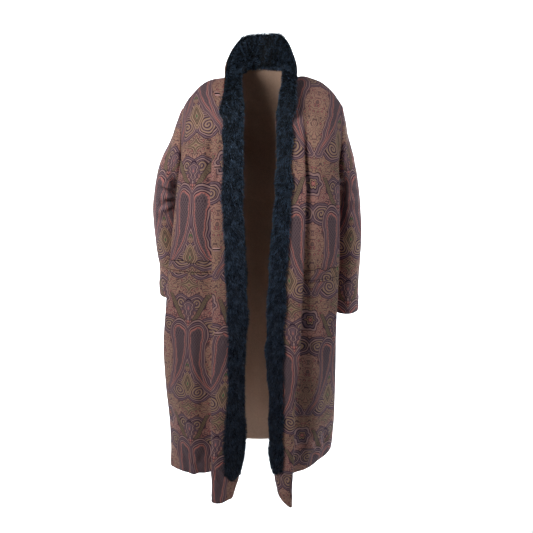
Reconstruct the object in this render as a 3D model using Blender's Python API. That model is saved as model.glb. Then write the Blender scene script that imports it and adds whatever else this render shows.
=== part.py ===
"""An open long coat with a standing fur collar that runs on down both front edges.

The coat keeps the hollow form of being worn, with no wearer in it.  Its front faces -Y, +X is the
wearer's left, and the origin is at the base of the neck, between the shoulder seams.  The body is
one surface, worked out from sections at named heights and cut into a back and two fronts.  The
sleeves start on the armhole ring of that surface, and the collar and fur start on its edges.
"""

import math

import bmesh
import bpy
from mathutils import Vector

MM = 0.001

# Driving sizes
WALL = 2.4 * MM             # padded shell cloth
SEAM_GAP = 0.3 * MM
ARMHOLE_GAP = 0.5 * MM
LIFT = 0.5 * MM             # clearance of what lies on a panel
UNDERARM_HEIGHT = -280
HEM_HEIGHT = -1157
ROWS_BELOW_ARM = 20
ROWS_ABOVE_ARM = 8
HEM_REACH = 150             # how far up the uneven hem is felt

# Sections of the body from the underarm to the hem, one row for each height.  Each pair is how
# far a station is from the middle and how far it is behind the shoulder seam, in millimetres.
SECTION_COLUMNS = ("height", "edge", "band", "ridge", "turn", "panel", "flank", "tuck", "seam")
SECTIONS_RIGHT = (
    (-280, (49, -118), (94, -130), (128, -135), (139, -121), (176, -106), (221, -60),
     (207, -14), (203, 28)),
    (-460, (44, -133), (87, -147), (126, -152), (138, -124), (186, -115), (242, -80),
     (208, -33), (193, 38)),
    (-640, (38, -139), (82, -155), (127, -159), (140, -114), (196, -107), (264, -64),
     (210, -25), (196, 50)),
    (-740, (44, -143), (84, -159), (131, -163), (141, -106), (203, -99), (274, -40),
     (258, 8), (232, 62)),
    (-870, (48, -147), (86, -163), (134, -165), (143, -92), (206, -88), (274, -25),
     (267, 20), (248, 68)),
    (-1000, (45, -150), (98, -170), (137, -168), (144, -76), (204, -77), (267, -12),
     (267, 30), (252, 76)),
    (-1157, (60, -146), (94, -178), (139, -170), (142, -58), (198, -64), (262, -6),
     (262, 36), (252, 82)),
)
SECTIONS_LEFT = (
    (-280, (48, -118), (83, -130), (124, -135), (133, -122), (171, -107), (216, -60),
     (209, -14), (206, 28)),
    (-460, (30, -133), (72, -150), (120, -153), (131, -127), (173, -112), (219, -75),
     (203, -33), (190, 38)),
    (-680, (21, -140), (65, -158), (115, -160), (128, -114), (173, -101), (217, -62),
     (200, -24), (190, 54)),
    (-770, (21, -143), (63, -161), (110, -163), (125, -106), (172, -88), (218, -38),
     (216, 10), (202, 68)),
    (-870, (31, -147), (62, -165), (102, -165), (119, -94), (170, -74), (219, -12),
     (219, 34), (206, 80)),
    (-1000, (30, -150), (64, -171), (100, -166), (113, -77), (165, -50), (221, 12),
     (222, 54), (210, 94)),
    (-1157, (44, -150), (58, -176), (88, -165), (98, -55), (146, -22), (212, 46),
     (217, 76), (208, 106)),
)
BACK_COLUMNS = ("height", "side", "blade", "centre")
SECTIONS_BACK = (
    (-280, (184, 92), (110, 122), (0, 128)),
    (-460, (178, 106), (110, 136), (0, 142)),
    (-640, (184, 114), (114, 144), (0, 150)),
    (-740, (200, 118), (120, 149), (0, 155)),
    (-870, (208, 125), (124, 154), (0, 160)),
    (-1000, (212, 131), (127, 159), (0, 165)),
    (-1157, (212, 138), (129, 164), (0, 170)),
)
# Height of the hem at each station of a front, in the order of SECTION_COLUMNS
HEM_RIGHT = (-1119, -1168, -1175, -1152, -1150, -1155, -1157, -1157)
HEM_LEFT = (-1122, -1160, -1196, -1160, -1151, -1130, -1133, -1140)
SPANS = (3, 3, 3, 3, 3, 3, 3)       # mesh columns between one station and the next, front
SPANS_BACK = (3, 3, 3)
EDGE_TO_BAND = SPANS[0]

# Neckline of one half, from the front edge over the shoulder seam to the middle of the back
NECKLINE = (
    ("front", (44, -106, -98)),
    ("breast", (55, -88, -55)),
    ("throat", (75, -48, -14)),
    ("shoulder", (88, 0, 3)),
    ("nape_side", (78, 52, 12)),
    ("nape", (45, 82, 16)),
    ("middle", (0, 92, 17)),
)
BACK_ROUND = 14                     # how far the upper back stands out at the middle
NECKLINE_START = 0.62               # part of the height above the underarm where it begins

# Shoulder seam from the neck to the sleeve head
SHOULDER_RIGHT = ((88, 3), (120, -9), (148, -21), (170, -44), (190, -65), (205, -84))
SHOULDER_LEFT = ((88, 9), (118, 4), (145, -4), (167, -18), (198, -50), (223, -77))
SHOULDER_SAMPLES = 40

# Sleeves, a row for each ring: outer_x, outer_z, inner_x, inner_z, middle_y, half_depth
SLEEVE_RIGHT = (
    (225, -120, 217, -281, 24, 77),
    (243, -166, 227, -294, 29, 74),
    (268, -213, 230, -316, 34, 70),
    (288, -272, 229, -350, 38, 66),
    (299, -335, 226, -392, 41, 62),
    (301, -400, 223, -438, 43, 60),
    (295, -480, 219, -496, 44, 58),
    (290, -532, 216, -537, 44, 56),
    (291, -568, 216, -570, 44, 55),
)
SLEEVE_LEFT = (
    (236, -120, 222, -279, 24, 77),
    (243, -158, 228, -294, 29, 74),
    (262, -215, 229, -316, 34, 70),
    (277, -290, 226, -356, 38, 66),
    (286, -355, 222, -400, 41, 62),
    (291, -425, 218, -450, 43, 60),
    (291, -500, 216, -512, 44, 58),
    (288, -570, 214, -575, 44, 56),
    (289, -616, 214, -618, 44, 55),
)
SLEEVE_ROWS = 15
CUFF_HEIGHT = 46
CUFF_FLARE = 1.02
CUFF_ROWS = (0.0, 0.35, 1.0)
ARMHOLE_FRONT_BULGE = 52
ARMHOLE_BACK_BULGE = 98
ARMHOLE_LEAN = 4
ARMHOLE_ROUND = ((0.22, 0.66), (0.5, 1.0), (0.8, 0.66))     # part of the height, share of bulge
RING_LEAN = (0.25, 0.75)            # how far the armhole's wall turns out: anywhere, underneath

# Free edge of the collar, from where the fur leaves the front to the middle of the back
COLLAR_FREE_RIGHT = (
    (98, -128, -97),
    (95, -116, -56),
    (88, -84, -10),
    (83, -25, 36),
    (73, 22, 67),
    (54, 68, 96),
    (32, 92, 104),
    (0, 104, 106),
)
COLLAR_FREE_LEFT = (
    (91, -128, -97),
    (95, -116, -56),
    (97, -86, -12),
    (98, -25, 32),
    (88, 22, 64),
    (70, 66, 93),
    (44, 90, 103),
    (0, 104, 106),
)
FUR_DEPTH = 15
FUR_DEPTH_NECK = 19
FUR_SWELL_ROWS = 4                  # rows over which the fur grows to its depth at the neck
FUR_ROLL_END = 1.15                 # the roll is gone this much before the middle of the back
FUR_OVERHANG = 6
FUR_ROLL = 32                       # how much thicker the fur is where it rolls into the neck
FUR_END_TAPER = (0.45, 0.85)        # depth of the first rows at the lower end
FUR_SIDE = 0.45                     # part of the depth where the fur reaches out furthest
FUR_SHOULDER = 0.85                 # depth along both edges, beside 1 in the middle
FUR_END_LIFT = 1.5 * MM
FUR_END_RIGHT = (-1102, -1112, -1110, -1090)
FUR_END_LEFT = (-1096, -1092, -1088, -1074)
NECK_ROWS = 16
NECK_CLEARANCE = 5
NECK_RISE = 1.35                    # how much more the fur's seam goes up than in
COLLAR_LIFT = 0.8 * MM
COLLAR_BOW = 5
COLLAR_SKIPS = 2                    # rows at the front where the fur still lies on the panel
UNDER_COLLAR_INSET = 6              # how far the cloth stays below the top of the fur

# Welts over the pockets: where they start and end among the mesh columns, and their heights
WELT_THICKNESS = 2.2 * MM
WELT_RIGHT = {"columns": (6.4, 15.0), "top": -473, "bottom": -512}
WELT_LEFT = {"columns": (9.0, 14.6), "top": -497, "bottom": -534}
WELT_ROWS = 3

# Bound buttonholes on the wearer's right front
BUTTONHOLE_HEIGHTS = (-36, -217, -433, -666)
BUTTONHOLE_COLUMNS = ((3.6, 5.2), (3.9, 5.3), (4.0, 5.6), (3.75, 5.55))
BUTTONHOLE_WIDTH = 8
BUTTONHOLE_THICKNESS = 1.2 * MM

FINISHES = {
    "cloth": {"colour": (0.115, 0.062, 0.048), "roughness": 0.85},
    "cloth_shade": {"colour": (0.085, 0.046, 0.038), "roughness": 0.85},
    "fur": {"colour": (0.012, 0.017, 0.023), "roughness": 0.9},
    "binding": {"colour": (0.16, 0.075, 0.068), "roughness": 0.7},
}


def clear_scene():
    for item in list(bpy.data.objects):
        bpy.data.objects.remove(item, do_unlink=True)


def finish(name):
    """Return the named material, made on first use."""
    material = bpy.data.materials.get(name)
    if material is None:
        material = bpy.data.materials.new(name)
        material.use_nodes = True
        shader = material.node_tree.nodes["Principled BSDF"]
        shader.inputs["Base Color"].default_value = (*FINISHES[name]["colour"], 1.0)
        shader.inputs["Roughness"].default_value = FINISHES[name]["roughness"]
        shader.inputs["Metallic"].default_value = 0.0
    return material


# Curves and tables

def curve_point(points, place):
    """Return the point of a Catmull-Rom curve at a place counted in control points."""
    last = len(points) - 1
    start = min(max(int(math.floor(place)), 0), last - 1)
    t = place - start
    before = points[start - 1] if start > 0 else 2 * points[0] - points[1]
    after = points[start + 2] if start + 2 <= last else 2 * points[last] - points[last - 1]
    a, b = points[start], points[start + 1]
    tangent_a = (b - before) * 0.5
    tangent_b = (after - a) * 0.5
    t2, t3 = t * t, t * t * t
    return (a * (2 * t3 - 3 * t2 + 1) + tangent_a * (t3 - 2 * t2 + t)
            + b * (3 * t2 - 2 * t3) + tangent_b * (t3 - t2))


def even_curve(points, count, samples=SHOULDER_SAMPLES):
    """Return count points at even lengths along the curve through the given points."""
    last = len(points) - 1
    dense = [curve_point(points, last * i / (samples * last)) for i in range(samples * last + 1)]
    lengths = [0.0]
    for a, b in zip(dense, dense[1:]):
        lengths.append(lengths[-1] + (b - a).length)
    result = []
    seek = 0
    for i in range(count):
        wanted = lengths[-1] * i / (count - 1)
        while seek < len(lengths) - 2 and lengths[seek + 1] < wanted:
            seek += 1
        step = lengths[seek + 1] - lengths[seek]
        result.append(dense[seek].lerp(dense[seek + 1], (wanted - lengths[seek]) / step))
    return result


def place_of_height(table, height):
    """Return where a height falls among the rows of a section table, counted in rows."""
    for i in range(len(table) - 1):
        if height >= table[i + 1][0]:
            return i + (height - table[i][0]) / (table[i + 1][0] - table[i][0])
    return float(len(table) - 1)


def stations_at(table, columns, height, side):
    """Return the stations that a section table's columns name, at a height, in metres."""
    place = place_of_height(table, height)
    result = []
    for station in columns[1:]:
        column = columns.index(station)
        path = [Vector((row[column][0], row[column][1], 0.0)) for row in table]
        x, y, _ = curve_point(path, place)
        result.append(Vector((side * x, y, height)) * MM)
    return result


def section_points(stations, spans, side_start=None, side_end=None):
    """Sample a smooth section through its stations, with a fixed count between each two."""
    chain = list(stations)
    offset = 0
    if side_start is not None:
        chain.insert(0, side_start)
        offset = 1
    if side_end is not None:
        chain.append(side_end)
    result = [stations[0].copy()]
    for i, span in enumerate(spans):
        for step in range(1, span + 1):
            result.append(curve_point(chain, offset + i + step / span))
    return result


def coons(bottom, top, start, end):
    """Fill four edge curves, bottom and top of one length, start and end of another."""
    columns, rows = len(bottom) - 1, len(start) - 1
    grid = []
    for j in range(rows + 1):
        w = j / rows
        row = []
        for i in range(columns + 1):
            u = i / columns
            ruled = bottom[i] * (1 - w) + top[i] * w + start[j] * (1 - u) + end[j] * u
            corners = (bottom[0] * (1 - u) * (1 - w) + bottom[-1] * u * (1 - w)
                       + top[0] * (1 - u) * w + top[-1] * u * w)
            row.append(ruled - corners)
        grid.append(row)
    return grid


# Surfaces to closed walls

def grid_normals(grid, outward):
    """Return unit normals of a grid, turned to the side that outward(point) gives."""
    rows, columns = len(grid), len(grid[0])
    result = []
    for j in range(rows):
        line = []
        for i in range(columns):
            along = grid[min(j + 1, rows - 1)][i] - grid[max(j - 1, 0)][i]
            across = grid[j][min(i + 1, columns - 1)] - grid[j][max(i - 1, 0)]
            line.append(along.cross(across).normalized())
        result.append(line)
    middle_j, middle_i = rows // 2, columns // 2
    if result[middle_j][middle_i].dot(outward(grid[middle_j][middle_i])) < 0:
        result = [[-n for n in line] for line in result]
    return result


def from_axis(point):
    """Return the direction away from the upright axis through the neck."""
    return Vector((point.x, point.y, 0.0))


def add_solid(name, points, faces, material):
    """Make one closed object from points and faces, with its faces turned out."""
    mesh = bpy.data.meshes.new(name)
    mesh.from_pydata([tuple(p) for p in points], [], faces)
    mesh.update()
    shape = bmesh.new()
    shape.from_mesh(mesh)
    bmesh.ops.recalc_face_normals(shape, faces=shape.faces)
    if shape.calc_volume(signed=True) < 0:
        bmesh.ops.reverse_faces(shape, faces=shape.faces)
    shape.to_mesh(mesh)
    shape.free()
    mesh.shade_smooth()
    mesh.materials.append(finish(material))
    item = bpy.data.objects.new(name, mesh)
    bpy.context.scene.collection.objects.link(item)
    return item


def two_triangles(a, b, c, d):
    """Split a quad along its first diagonal, so that faces that lie together bend alike."""
    return [(a, b, c), (a, c, d)]


def wall_between(name, outer, inner, material, closed=False):
    """Join an outer and an inner grid of the same size into one closed wall."""
    rows, columns = len(outer), len(outer[0])
    points = [p for line in outer for p in line] + [p for line in inner for p in line]
    shift = rows * columns
    faces = []
    around = columns if closed else columns - 1
    for j in range(rows - 1):
        for i in range(around):
            k = (i + 1) % columns
            quad = (j * columns + i, j * columns + k, (j + 1) * columns + k, (j + 1) * columns + i)
            for triangle in two_triangles(*quad):
                faces.append(triangle)
                faces.append(tuple(shift + q for q in reversed(triangle)))
    for i in range(around):
        k = (i + 1) % columns
        faces.append((k, i, shift + i, shift + k))
        top = (rows - 1) * columns
        faces.append((top + i, top + k, shift + top + k, shift + top + i))
    if not closed:
        for j in range(rows - 1):
            a, b = j * columns, (j + 1) * columns
            faces.append((a, b, shift + b, shift + a))
            a, b = a + columns - 1, b + columns - 1
            faces.append((b, a, shift + a, shift + b))
    return add_solid(name, points, faces, material)


def moved(grid, normals, distance):
    return [[p + n * distance for p, n in zip(line, turn)] for line, turn in zip(grid, normals)]


def trim_edges(grid, start=0.0, end=0.0, top=0.0):
    """Draw a grid's first column, last column or last row back by a small distance."""
    result = [[p.copy() for p in line] for line in grid]
    for line in result:
        if start:
            line[0] += (line[1] - line[0]).normalized() * start
        if end:
            line[-1] += (line[-2] - line[-1]).normalized() * end
    if top:
        result[-1] = [p + (q - p).normalized() * top for p, q in zip(result[-1], result[-2])]
    return result


def grid_point(grid, place_row, place_column):
    """Return a point of a grid at fractional row and column places."""
    j = min(int(place_row), len(grid) - 2)
    i = min(int(place_column), len(grid[0]) - 2)
    v, u = place_row - j, place_column - i
    low = grid[j][i].lerp(grid[j][i + 1], u)
    high = grid[j + 1][i].lerp(grid[j + 1][i + 1], u)
    return low.lerp(high, v)


# The body surface

def hem_drop(hem):
    """Return how far the hem is from level at each mesh column, in metres."""
    stations = [Vector((0.0, 0.0, value - HEM_HEIGHT)) for value in hem]
    return [p.z * MM for p in section_points(stations, SPANS)]


def lower_rows(table, hem, side):
    """Return the front and half back rows from the hem up to the underarm."""
    drop = hem_drop(hem)
    front, back = [], []
    for j in range(ROWS_BELOW_ARM + 1):
        height = HEM_HEIGHT + (UNDERARM_HEIGHT - HEM_HEIGHT) * j / ROWS_BELOW_ARM
        felt = max(0.0, 1.0 - (height - HEM_HEIGHT) / HEM_REACH)
        stations = stations_at(table, SECTION_COLUMNS, height, side)
        behind = stations_at(SECTIONS_BACK, BACK_COLUMNS, height, side)
        line = section_points(stations, SPANS, side_end=behind[0])
        line = [p + Vector((0.0, 0.0, d * felt)) for p, d in zip(line, drop)]
        mirrored = Vector((-behind[-2].x, behind[-2].y, behind[-2].z))
        chain = [stations[-1]] + behind
        rest = section_points(chain, SPANS_BACK, side_start=stations[-2], side_end=mirrored)
        fade = [drop[-1] * felt * (1.0 - i / (len(rest) - 1)) for i in range(len(rest))]
        rest = [p + Vector((0.0, 0.0, d)) for p, d in zip(rest, fade)]
        front.append(line)
        back.append(rest)
    return front, back


def neck_curve(side):
    return [Vector((side * p[0], p[1], p[2])) * MM for _, p in NECKLINE]


def shoulder_curve(shoulder, side):
    return [Vector((side * x, 0.0, z)) * MM for x, z in shoulder]


def armhole_curve(low, high, bulge, side):
    """Return one half of the armhole, from the underarm up to the sleeve head."""
    lean = Vector((side * ARMHOLE_LEAN * MM, 0.0, 0.0))
    knots = [low]
    for part, share in ARMHOLE_ROUND:
        straight = low.lerp(high, part)
        p = straight + lean
        p.y = bulge * share * MM + (1 - share) * straight.y
        knots.append(p)
    knots.append(high)
    return even_curve(knots, ROWS_ABOVE_ARM + 1)


def upper_front(row, shoulder, side):
    """Fill the front above the underarm, between edge, neckline, shoulder and armhole."""
    neck = neck_curve(side)
    start_rows = round(NECKLINE_START * ROWS_ABOVE_ARM)
    edge = []
    for j in range(start_rows + 1):
        edge.append(row[0].lerp(neck[0], j / start_rows))
    around = even_curve(neck[:4], ROWS_ABOVE_ARM - start_rows + 1)
    edge += around[1:]
    seam = shoulder_curve(shoulder, side)
    seam[0] = neck[3]
    top = even_curve(seam, len(row))
    armhole = armhole_curve(row[-1], top[-1], -ARMHOLE_FRONT_BULGE, side)
    return coons(row, top, edge, armhole)


def upper_back(row, shoulder, side):
    """Fill half of the back above the underarm, from the armhole to the middle."""
    neck = neck_curve(side)
    seam = shoulder_curve(shoulder, side)
    seam[0] = neck[3]
    over = even_curve(seam, len(row) - SPANS_BACK[-1])
    nape = even_curve(neck[3:], SPANS_BACK[-1] + 1)
    top = list(reversed(over)) + nape[1:]
    armhole = armhole_curve(row[0], top[0], ARMHOLE_BACK_BULGE, side)
    middle_low, middle_high = row[-1], top[-1]
    between = middle_low.lerp(middle_high, 0.5) + Vector((0.0, BACK_ROUND * MM, 0.0))
    middle = even_curve([middle_low, between, middle_high], ROWS_ABOVE_ARM + 1)
    return coons(row, top, armhole, middle)


def body_half(table, hem, shoulder, side):
    front, back = lower_rows(table, hem, side)
    front += upper_front(front[-1], shoulder, side)[1:]
    back += upper_back(back[-1], shoulder, side)[1:]
    return front, back


def ring_directions(front, back, side):
    """Return, for both armhole halves, the wall direction and the direction along the sleeve."""
    ring = [line[-1] for line in front[ROWS_BELOW_ARM:]]
    ring += [line[0] for line in reversed(back[ROWS_BELOW_ARM:-1])]
    centre = sum(ring, Vector()) / len(ring)
    result = []
    for k, p in enumerate(ring):
        tangent = ring[(k + 1) % len(ring)] - ring[k - 1]
        spoke = p - centre
        spoke.x = 0.0
        spoke.normalize()
        low = max(0.0, -spoke.z)
        lean = side * (RING_LEAN[0] + RING_LEAN[1] * low)
        out = (spoke + Vector((lean, 0.0, 0.0))).normalized()
        away = tangent.cross(out).normalized()
        if away.x * side < 0:
            away = -away
        result.append((p, out, away))
    return result


def body_normals(front, back, side, ring):
    """Normals of a half body, alike on both sides of each seam."""
    joined = [f + b[1:] for f, b in zip(front, back)]
    normals = grid_normals(joined, from_axis)
    width = len(front[0])
    front_n = [line[:width] for line in normals]
    back_n = [line[width - 1:] for line in normals]
    upper_f = grid_normals(front[ROWS_BELOW_ARM:], from_axis)
    upper_b = grid_normals(back[ROWS_BELOW_ARM:], from_axis)
    for j in range(1, ROWS_ABOVE_ARM + 1):
        front_n[ROWS_BELOW_ARM + j] = upper_f[j]
        back_n[ROWS_BELOW_ARM + j] = upper_b[j]
    count = ROWS_ABOVE_ARM
    for j in range(count + 1):
        front_n[ROWS_BELOW_ARM + j][-1] = ring[j][1]
    for j in range(count + 1):
        back_n[ROWS_BELOW_ARM + j][0] = ring[(2 * count - j) % len(ring)][1]
    for line_n, line in ((front_n[-1], front[-1]), (back_n[-1], back[-1])):
        for i, p in enumerate(line):
            seam = line[min(i + 1, len(line) - 1)] - line[max(i - 1, 0)]
            if abs(p.y) < MM and 0 < i < len(line) - 1:
                flat = Vector((seam.x, 0.0, seam.z))
                up = flat.cross(Vector((0.0, 1.0, 0.0))).normalized()
                line_n[i] = up if up.z > 0 else -up
    front_n[-1][0] = front_n[-1][1]
    back_n[-1][0] = ring[count][1]
    front_n[-1][-1] = ring[count][1]
    for j in range(len(back_n)):
        middle = back_n[j][-1].copy()
        middle.x = 0.0
        back_n[j][-1] = middle.normalized()
    return front_n, back_n


def make_front(name, grid, normals):
    outer = trim_edges(grid, end=SEAM_GAP / 2, top=SEAM_GAP / 2)
    inner = trim_edges(moved(grid, normals, -WALL), end=SEAM_GAP / 2, top=SEAM_GAP / 2)
    return wall_between(name, outer, inner, "cloth")


def make_back(right, right_n, left, left_n):
    """Join both half backs at the middle and wall them."""
    grid = [r + list(reversed(l))[1:] for r, l in zip(right, left)]
    normals = [r + list(reversed(l))[1:] for r, l in zip(right_n, left_n)]
    gap = SEAM_GAP / 2
    outer = trim_edges(grid, start=gap, end=gap, top=gap)
    inner = trim_edges(moved(grid, normals, -WALL), start=gap, end=gap, top=gap)
    return wall_between("back", outer, inner, "cloth_shade")


# Sleeves and cuffs

def ring_of(row, side, count):
    """Return the points of one sleeve ring, the first at its outer edge."""
    outer_x, outer_z, inner_x, inner_z, middle_y, half_depth = row
    outer = Vector((side * outer_x, 0.0, outer_z))
    inner = Vector((side * inner_x, 0.0, inner_z))
    centre = (outer + inner) / 2 + Vector((0.0, middle_y, 0.0))
    spoke = (outer - inner) / 2
    result = []
    for k in range(count):
        angle = 2 * math.pi * k / count
        depth = Vector((0.0, -half_depth * math.sin(angle), 0.0))
        result.append((centre + spoke * math.cos(angle) + depth) * MM)
    return result


def make_sleeve(name, table, ring, side):
    """Loft a sleeve from the armhole ring to the cuff seam."""
    top = [p + away * ARMHOLE_GAP for p, _, away in ring]
    head = max(range(len(top)), key=lambda k: top[k].z)
    order = [(head - k) % len(top) for k in range(len(top))]
    dense = [top[k] for k in order]
    directions = [ring[k][1] for k in order]
    if dense[1].y > dense[-1].y:
        dense = [dense[0]] + dense[:0:-1]
        directions = [directions[0]] + directions[:0:-1]
    count = len(dense)
    path = [dense] + [ring_of(row, side, count) for row in table]
    grid = []
    for j in range(SLEEVE_ROWS + 1):
        place = (len(path) - 1) * j / SLEEVE_ROWS
        grid.append([curve_point([line[k] for line in path], place) for k in range(count)])
    normals = []
    for j in range(len(grid)):
        line = []
        for k in range(count):
            along = grid[min(j + 1, len(grid) - 1)][k] - grid[max(j - 1, 0)][k]
            across = grid[j][(k + 1) % count] - grid[j][k - 1]
            line.append(along.cross(across).normalized())
        normals.append(line)
    centre = sum(grid[-1], Vector()) / count
    if normals[-1][0].dot(grid[-1][0] - centre) < 0:
        normals = [[-n for n in line] for line in normals]
    normals[0] = directions
    inner = moved(grid, normals, -WALL)
    grid[-1] = [p + Vector((0.0, 0.0, SEAM_GAP)) for p in grid[-1]]
    inner[-1] = [p + Vector((0.0, 0.0, SEAM_GAP)) for p in inner[-1]]
    wall_between(name, grid, inner, "cloth", closed=True)
    return grid[-1]


def make_cuff(name, seam, side):
    """Make a short plain band below the sleeve, slightly wider than the seam."""
    count = len(seam)
    centre = sum(seam, Vector()) / count
    rows = []
    for part in CUFF_ROWS:
        drop = Vector((0.0, 0.0, -SEAM_GAP - part * CUFF_HEIGHT * MM))
        rows.append([centre + (p - centre) * (1 + (CUFF_FLARE - 1) * part) + drop for p in seam])
    inner = []
    for line in rows:
        middle = sum(line, Vector()) / count
        inner.append([p + Vector((middle.x - p.x, middle.y - p.y, 0.0)).normalized() * WALL
                      for p in line])
    wall_between(name, rows, inner, "cloth", closed=True)


# Fur band and under collar

def fur_base(front, normals, free, ends, side):
    """Return the grid that the fur lies on: the front's edge columns, then round the neck."""
    first = round(NECKLINE_START * ROWS_ABOVE_ARM) + ROWS_BELOW_ARM
    lifted = moved(front, normals, LIFT)
    lower = []
    start = [grid_height_place(lifted, i, end * MM) for i, end in enumerate(ends)]
    lower.append([grid_point(lifted, start[i], i) for i in range(EDGE_TO_BAND + 1)])
    for j in range(int(max(start)) + 1, first + 1):
        lower.append([lifted[j][i] for i in range(EDGE_TO_BAND + 1)])
    inset = []
    for p in even_curve(neck_curve(side), NECK_ROWS + 1):
        inward = Vector((-p.x, -0.5 * p.y, 0.0)).normalized()
        clear = (inward + Vector((0.0, 0.0, NECK_RISE))).normalized()
        inset.append(p + clear * NECK_CLEARANCE * MM)
    inset[-1].x = edge_gap = side * SEAM_GAP / 2
    edge = [Vector((side * p[0], p[1], p[2])) * MM for p in free]
    edge = even_curve(edge, NECK_ROWS + 1)
    edge[-1].x = edge_gap
    upper = []
    for j in range(1, NECK_ROWS + 1):
        seam, loose = inset[j], edge[j]
        bow = from_axis(loose).normalized() * COLLAR_BOW * MM
        share = min(1.0, j / 3)
        line = []
        for i in range(EDGE_TO_BAND + 1):
            u = i / EDGE_TO_BAND
            line.append(seam.lerp(loose, u) + bow * math.sin(math.pi * u) * share)
        upper.append(line)
    return lower, upper


def grid_height_place(grid, column, height):
    """Return the row place where one column of a grid reaches a height."""
    for j in range(len(grid) - 1):
        a, b = grid[j][column].z, grid[j + 1][column].z
        if a <= height <= b:
            return j + (height - a) / (b - a)
    return 0.0


def make_fur(name, lower, upper):
    """Raise a soft rounded band of fur on its base grid, as one closed body."""
    base = lower + upper
    rows, columns = len(base), len(base[0])
    normals = grid_normals(base, lambda p: Vector((0.0, -1.0, 0.0)))
    for n in normals[-1]:
        n.x = 0.0
        n.normalize()
    for j in range(len(FUR_END_TAPER)):
        base[j] = [p + n * FUR_END_LIFT for p, n in zip(base[j], normals[j])]
    points, faces = [], []
    ring_size = columns + columns + 2
    for j, line in enumerate(base):
        neck = max(0.0, min(1.0, (j - len(lower)) / FUR_SWELL_ROWS))
        depth = (FUR_DEPTH + (FUR_DEPTH_NECK - FUR_DEPTH) * neck) * MM
        taper = FUR_END_TAPER[j] if j < len(FUR_END_TAPER) else 1.0
        round_neck = max(0.0, (j - len(lower)) / NECK_ROWS)
        roll = FUR_ROLL * MM * math.sin(math.pi * min(1.0, round_neck * FUR_ROLL_END))
        across = line[-1] - line[0]
        if j == rows - 1:
            across.x = 0.0
        across.normalize()
        turn = normals[j]
        ring = list(line)
        overhang = across * FUR_OVERHANG * MM * taper
        ring.append(line[-1] + turn[-1] * depth * FUR_SIDE + overhang)
        for i in reversed(range(columns)):
            height = depth * taper * (1.0 if 0 < i < columns - 1 else FUR_SHOULDER)
            height += roll * (1.0 - i / (columns - 1))
            ring.append(line[i] + turn[i] * height)
        ring.append(line[0] + turn[0] * (depth + roll) * FUR_SIDE - overhang)
        points += ring
    for j in range(rows - 1):
        for i in range(ring_size):
            k = (i + 1) % ring_size
            faces += two_triangles(j * ring_size + i, j * ring_size + k,
                                   (j + 1) * ring_size + k, (j + 1) * ring_size + i)
    faces.append(tuple(reversed(range(ring_size))))
    last = (rows - 1) * ring_size
    faces.append(tuple(last + i for i in range(ring_size)))
    return add_solid(name, points, faces, "fur")


def make_under_collar(name, upper):
    """Back half of the standing fur with cloth, from the front to the middle of the back."""
    grid = [list(line) for line in upper[COLLAR_SKIPS:]]
    normals = grid_normals(grid, from_axis)
    for n in normals[-1]:
        n.x = 0.0
        n.normalize()
    inner = moved(grid, normals, COLLAR_LIFT)
    outer = moved(grid, normals, COLLAR_LIFT + WALL)
    for layer in (inner, outer):
        for line in layer:
            line[-1] += (line[-2] - line[-1]).normalized() * UNDER_COLLAR_INSET * MM
    wall_between(name, outer, inner, "cloth_shade")


# What is sewn on the fronts

def make_patch(name, front, normals, columns, heights, thickness, rows, material):
    """Lay a thin piece on a front, made from the front's own points and moved out."""
    first, last = columns
    places = sorted({first, last} | {float(c) for c in range(math.ceil(first), int(last) + 1)})
    lines_low, lines_high = [], []
    for j in range(rows + 1):
        height = (heights[0] + (heights[1] - heights[0]) * j / rows) * MM
        low, high = [], []
        for place in places:
            row = row_of_height(front, place, height)
            p = grid_point(front, row, place)
            n = grid_point(normals, row, place).normalized()
            low.append(p + n * LIFT * 2)
            high.append(p + n * (LIFT * 2 + thickness))
        lines_low.append(low)
        lines_high.append(high)
    return wall_between(name, lines_high, lines_low, material)


def row_of_height(grid, column, height):
    """Return the row place where a fractional column reaches a height."""
    for j in range(len(grid) - 1):
        a = grid_point(grid, j, column).z
        b = grid_point(grid, j + 1, column).z
        if a <= height <= b:
            return j + (height - a) / (b - a)
    return 0.0


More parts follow.
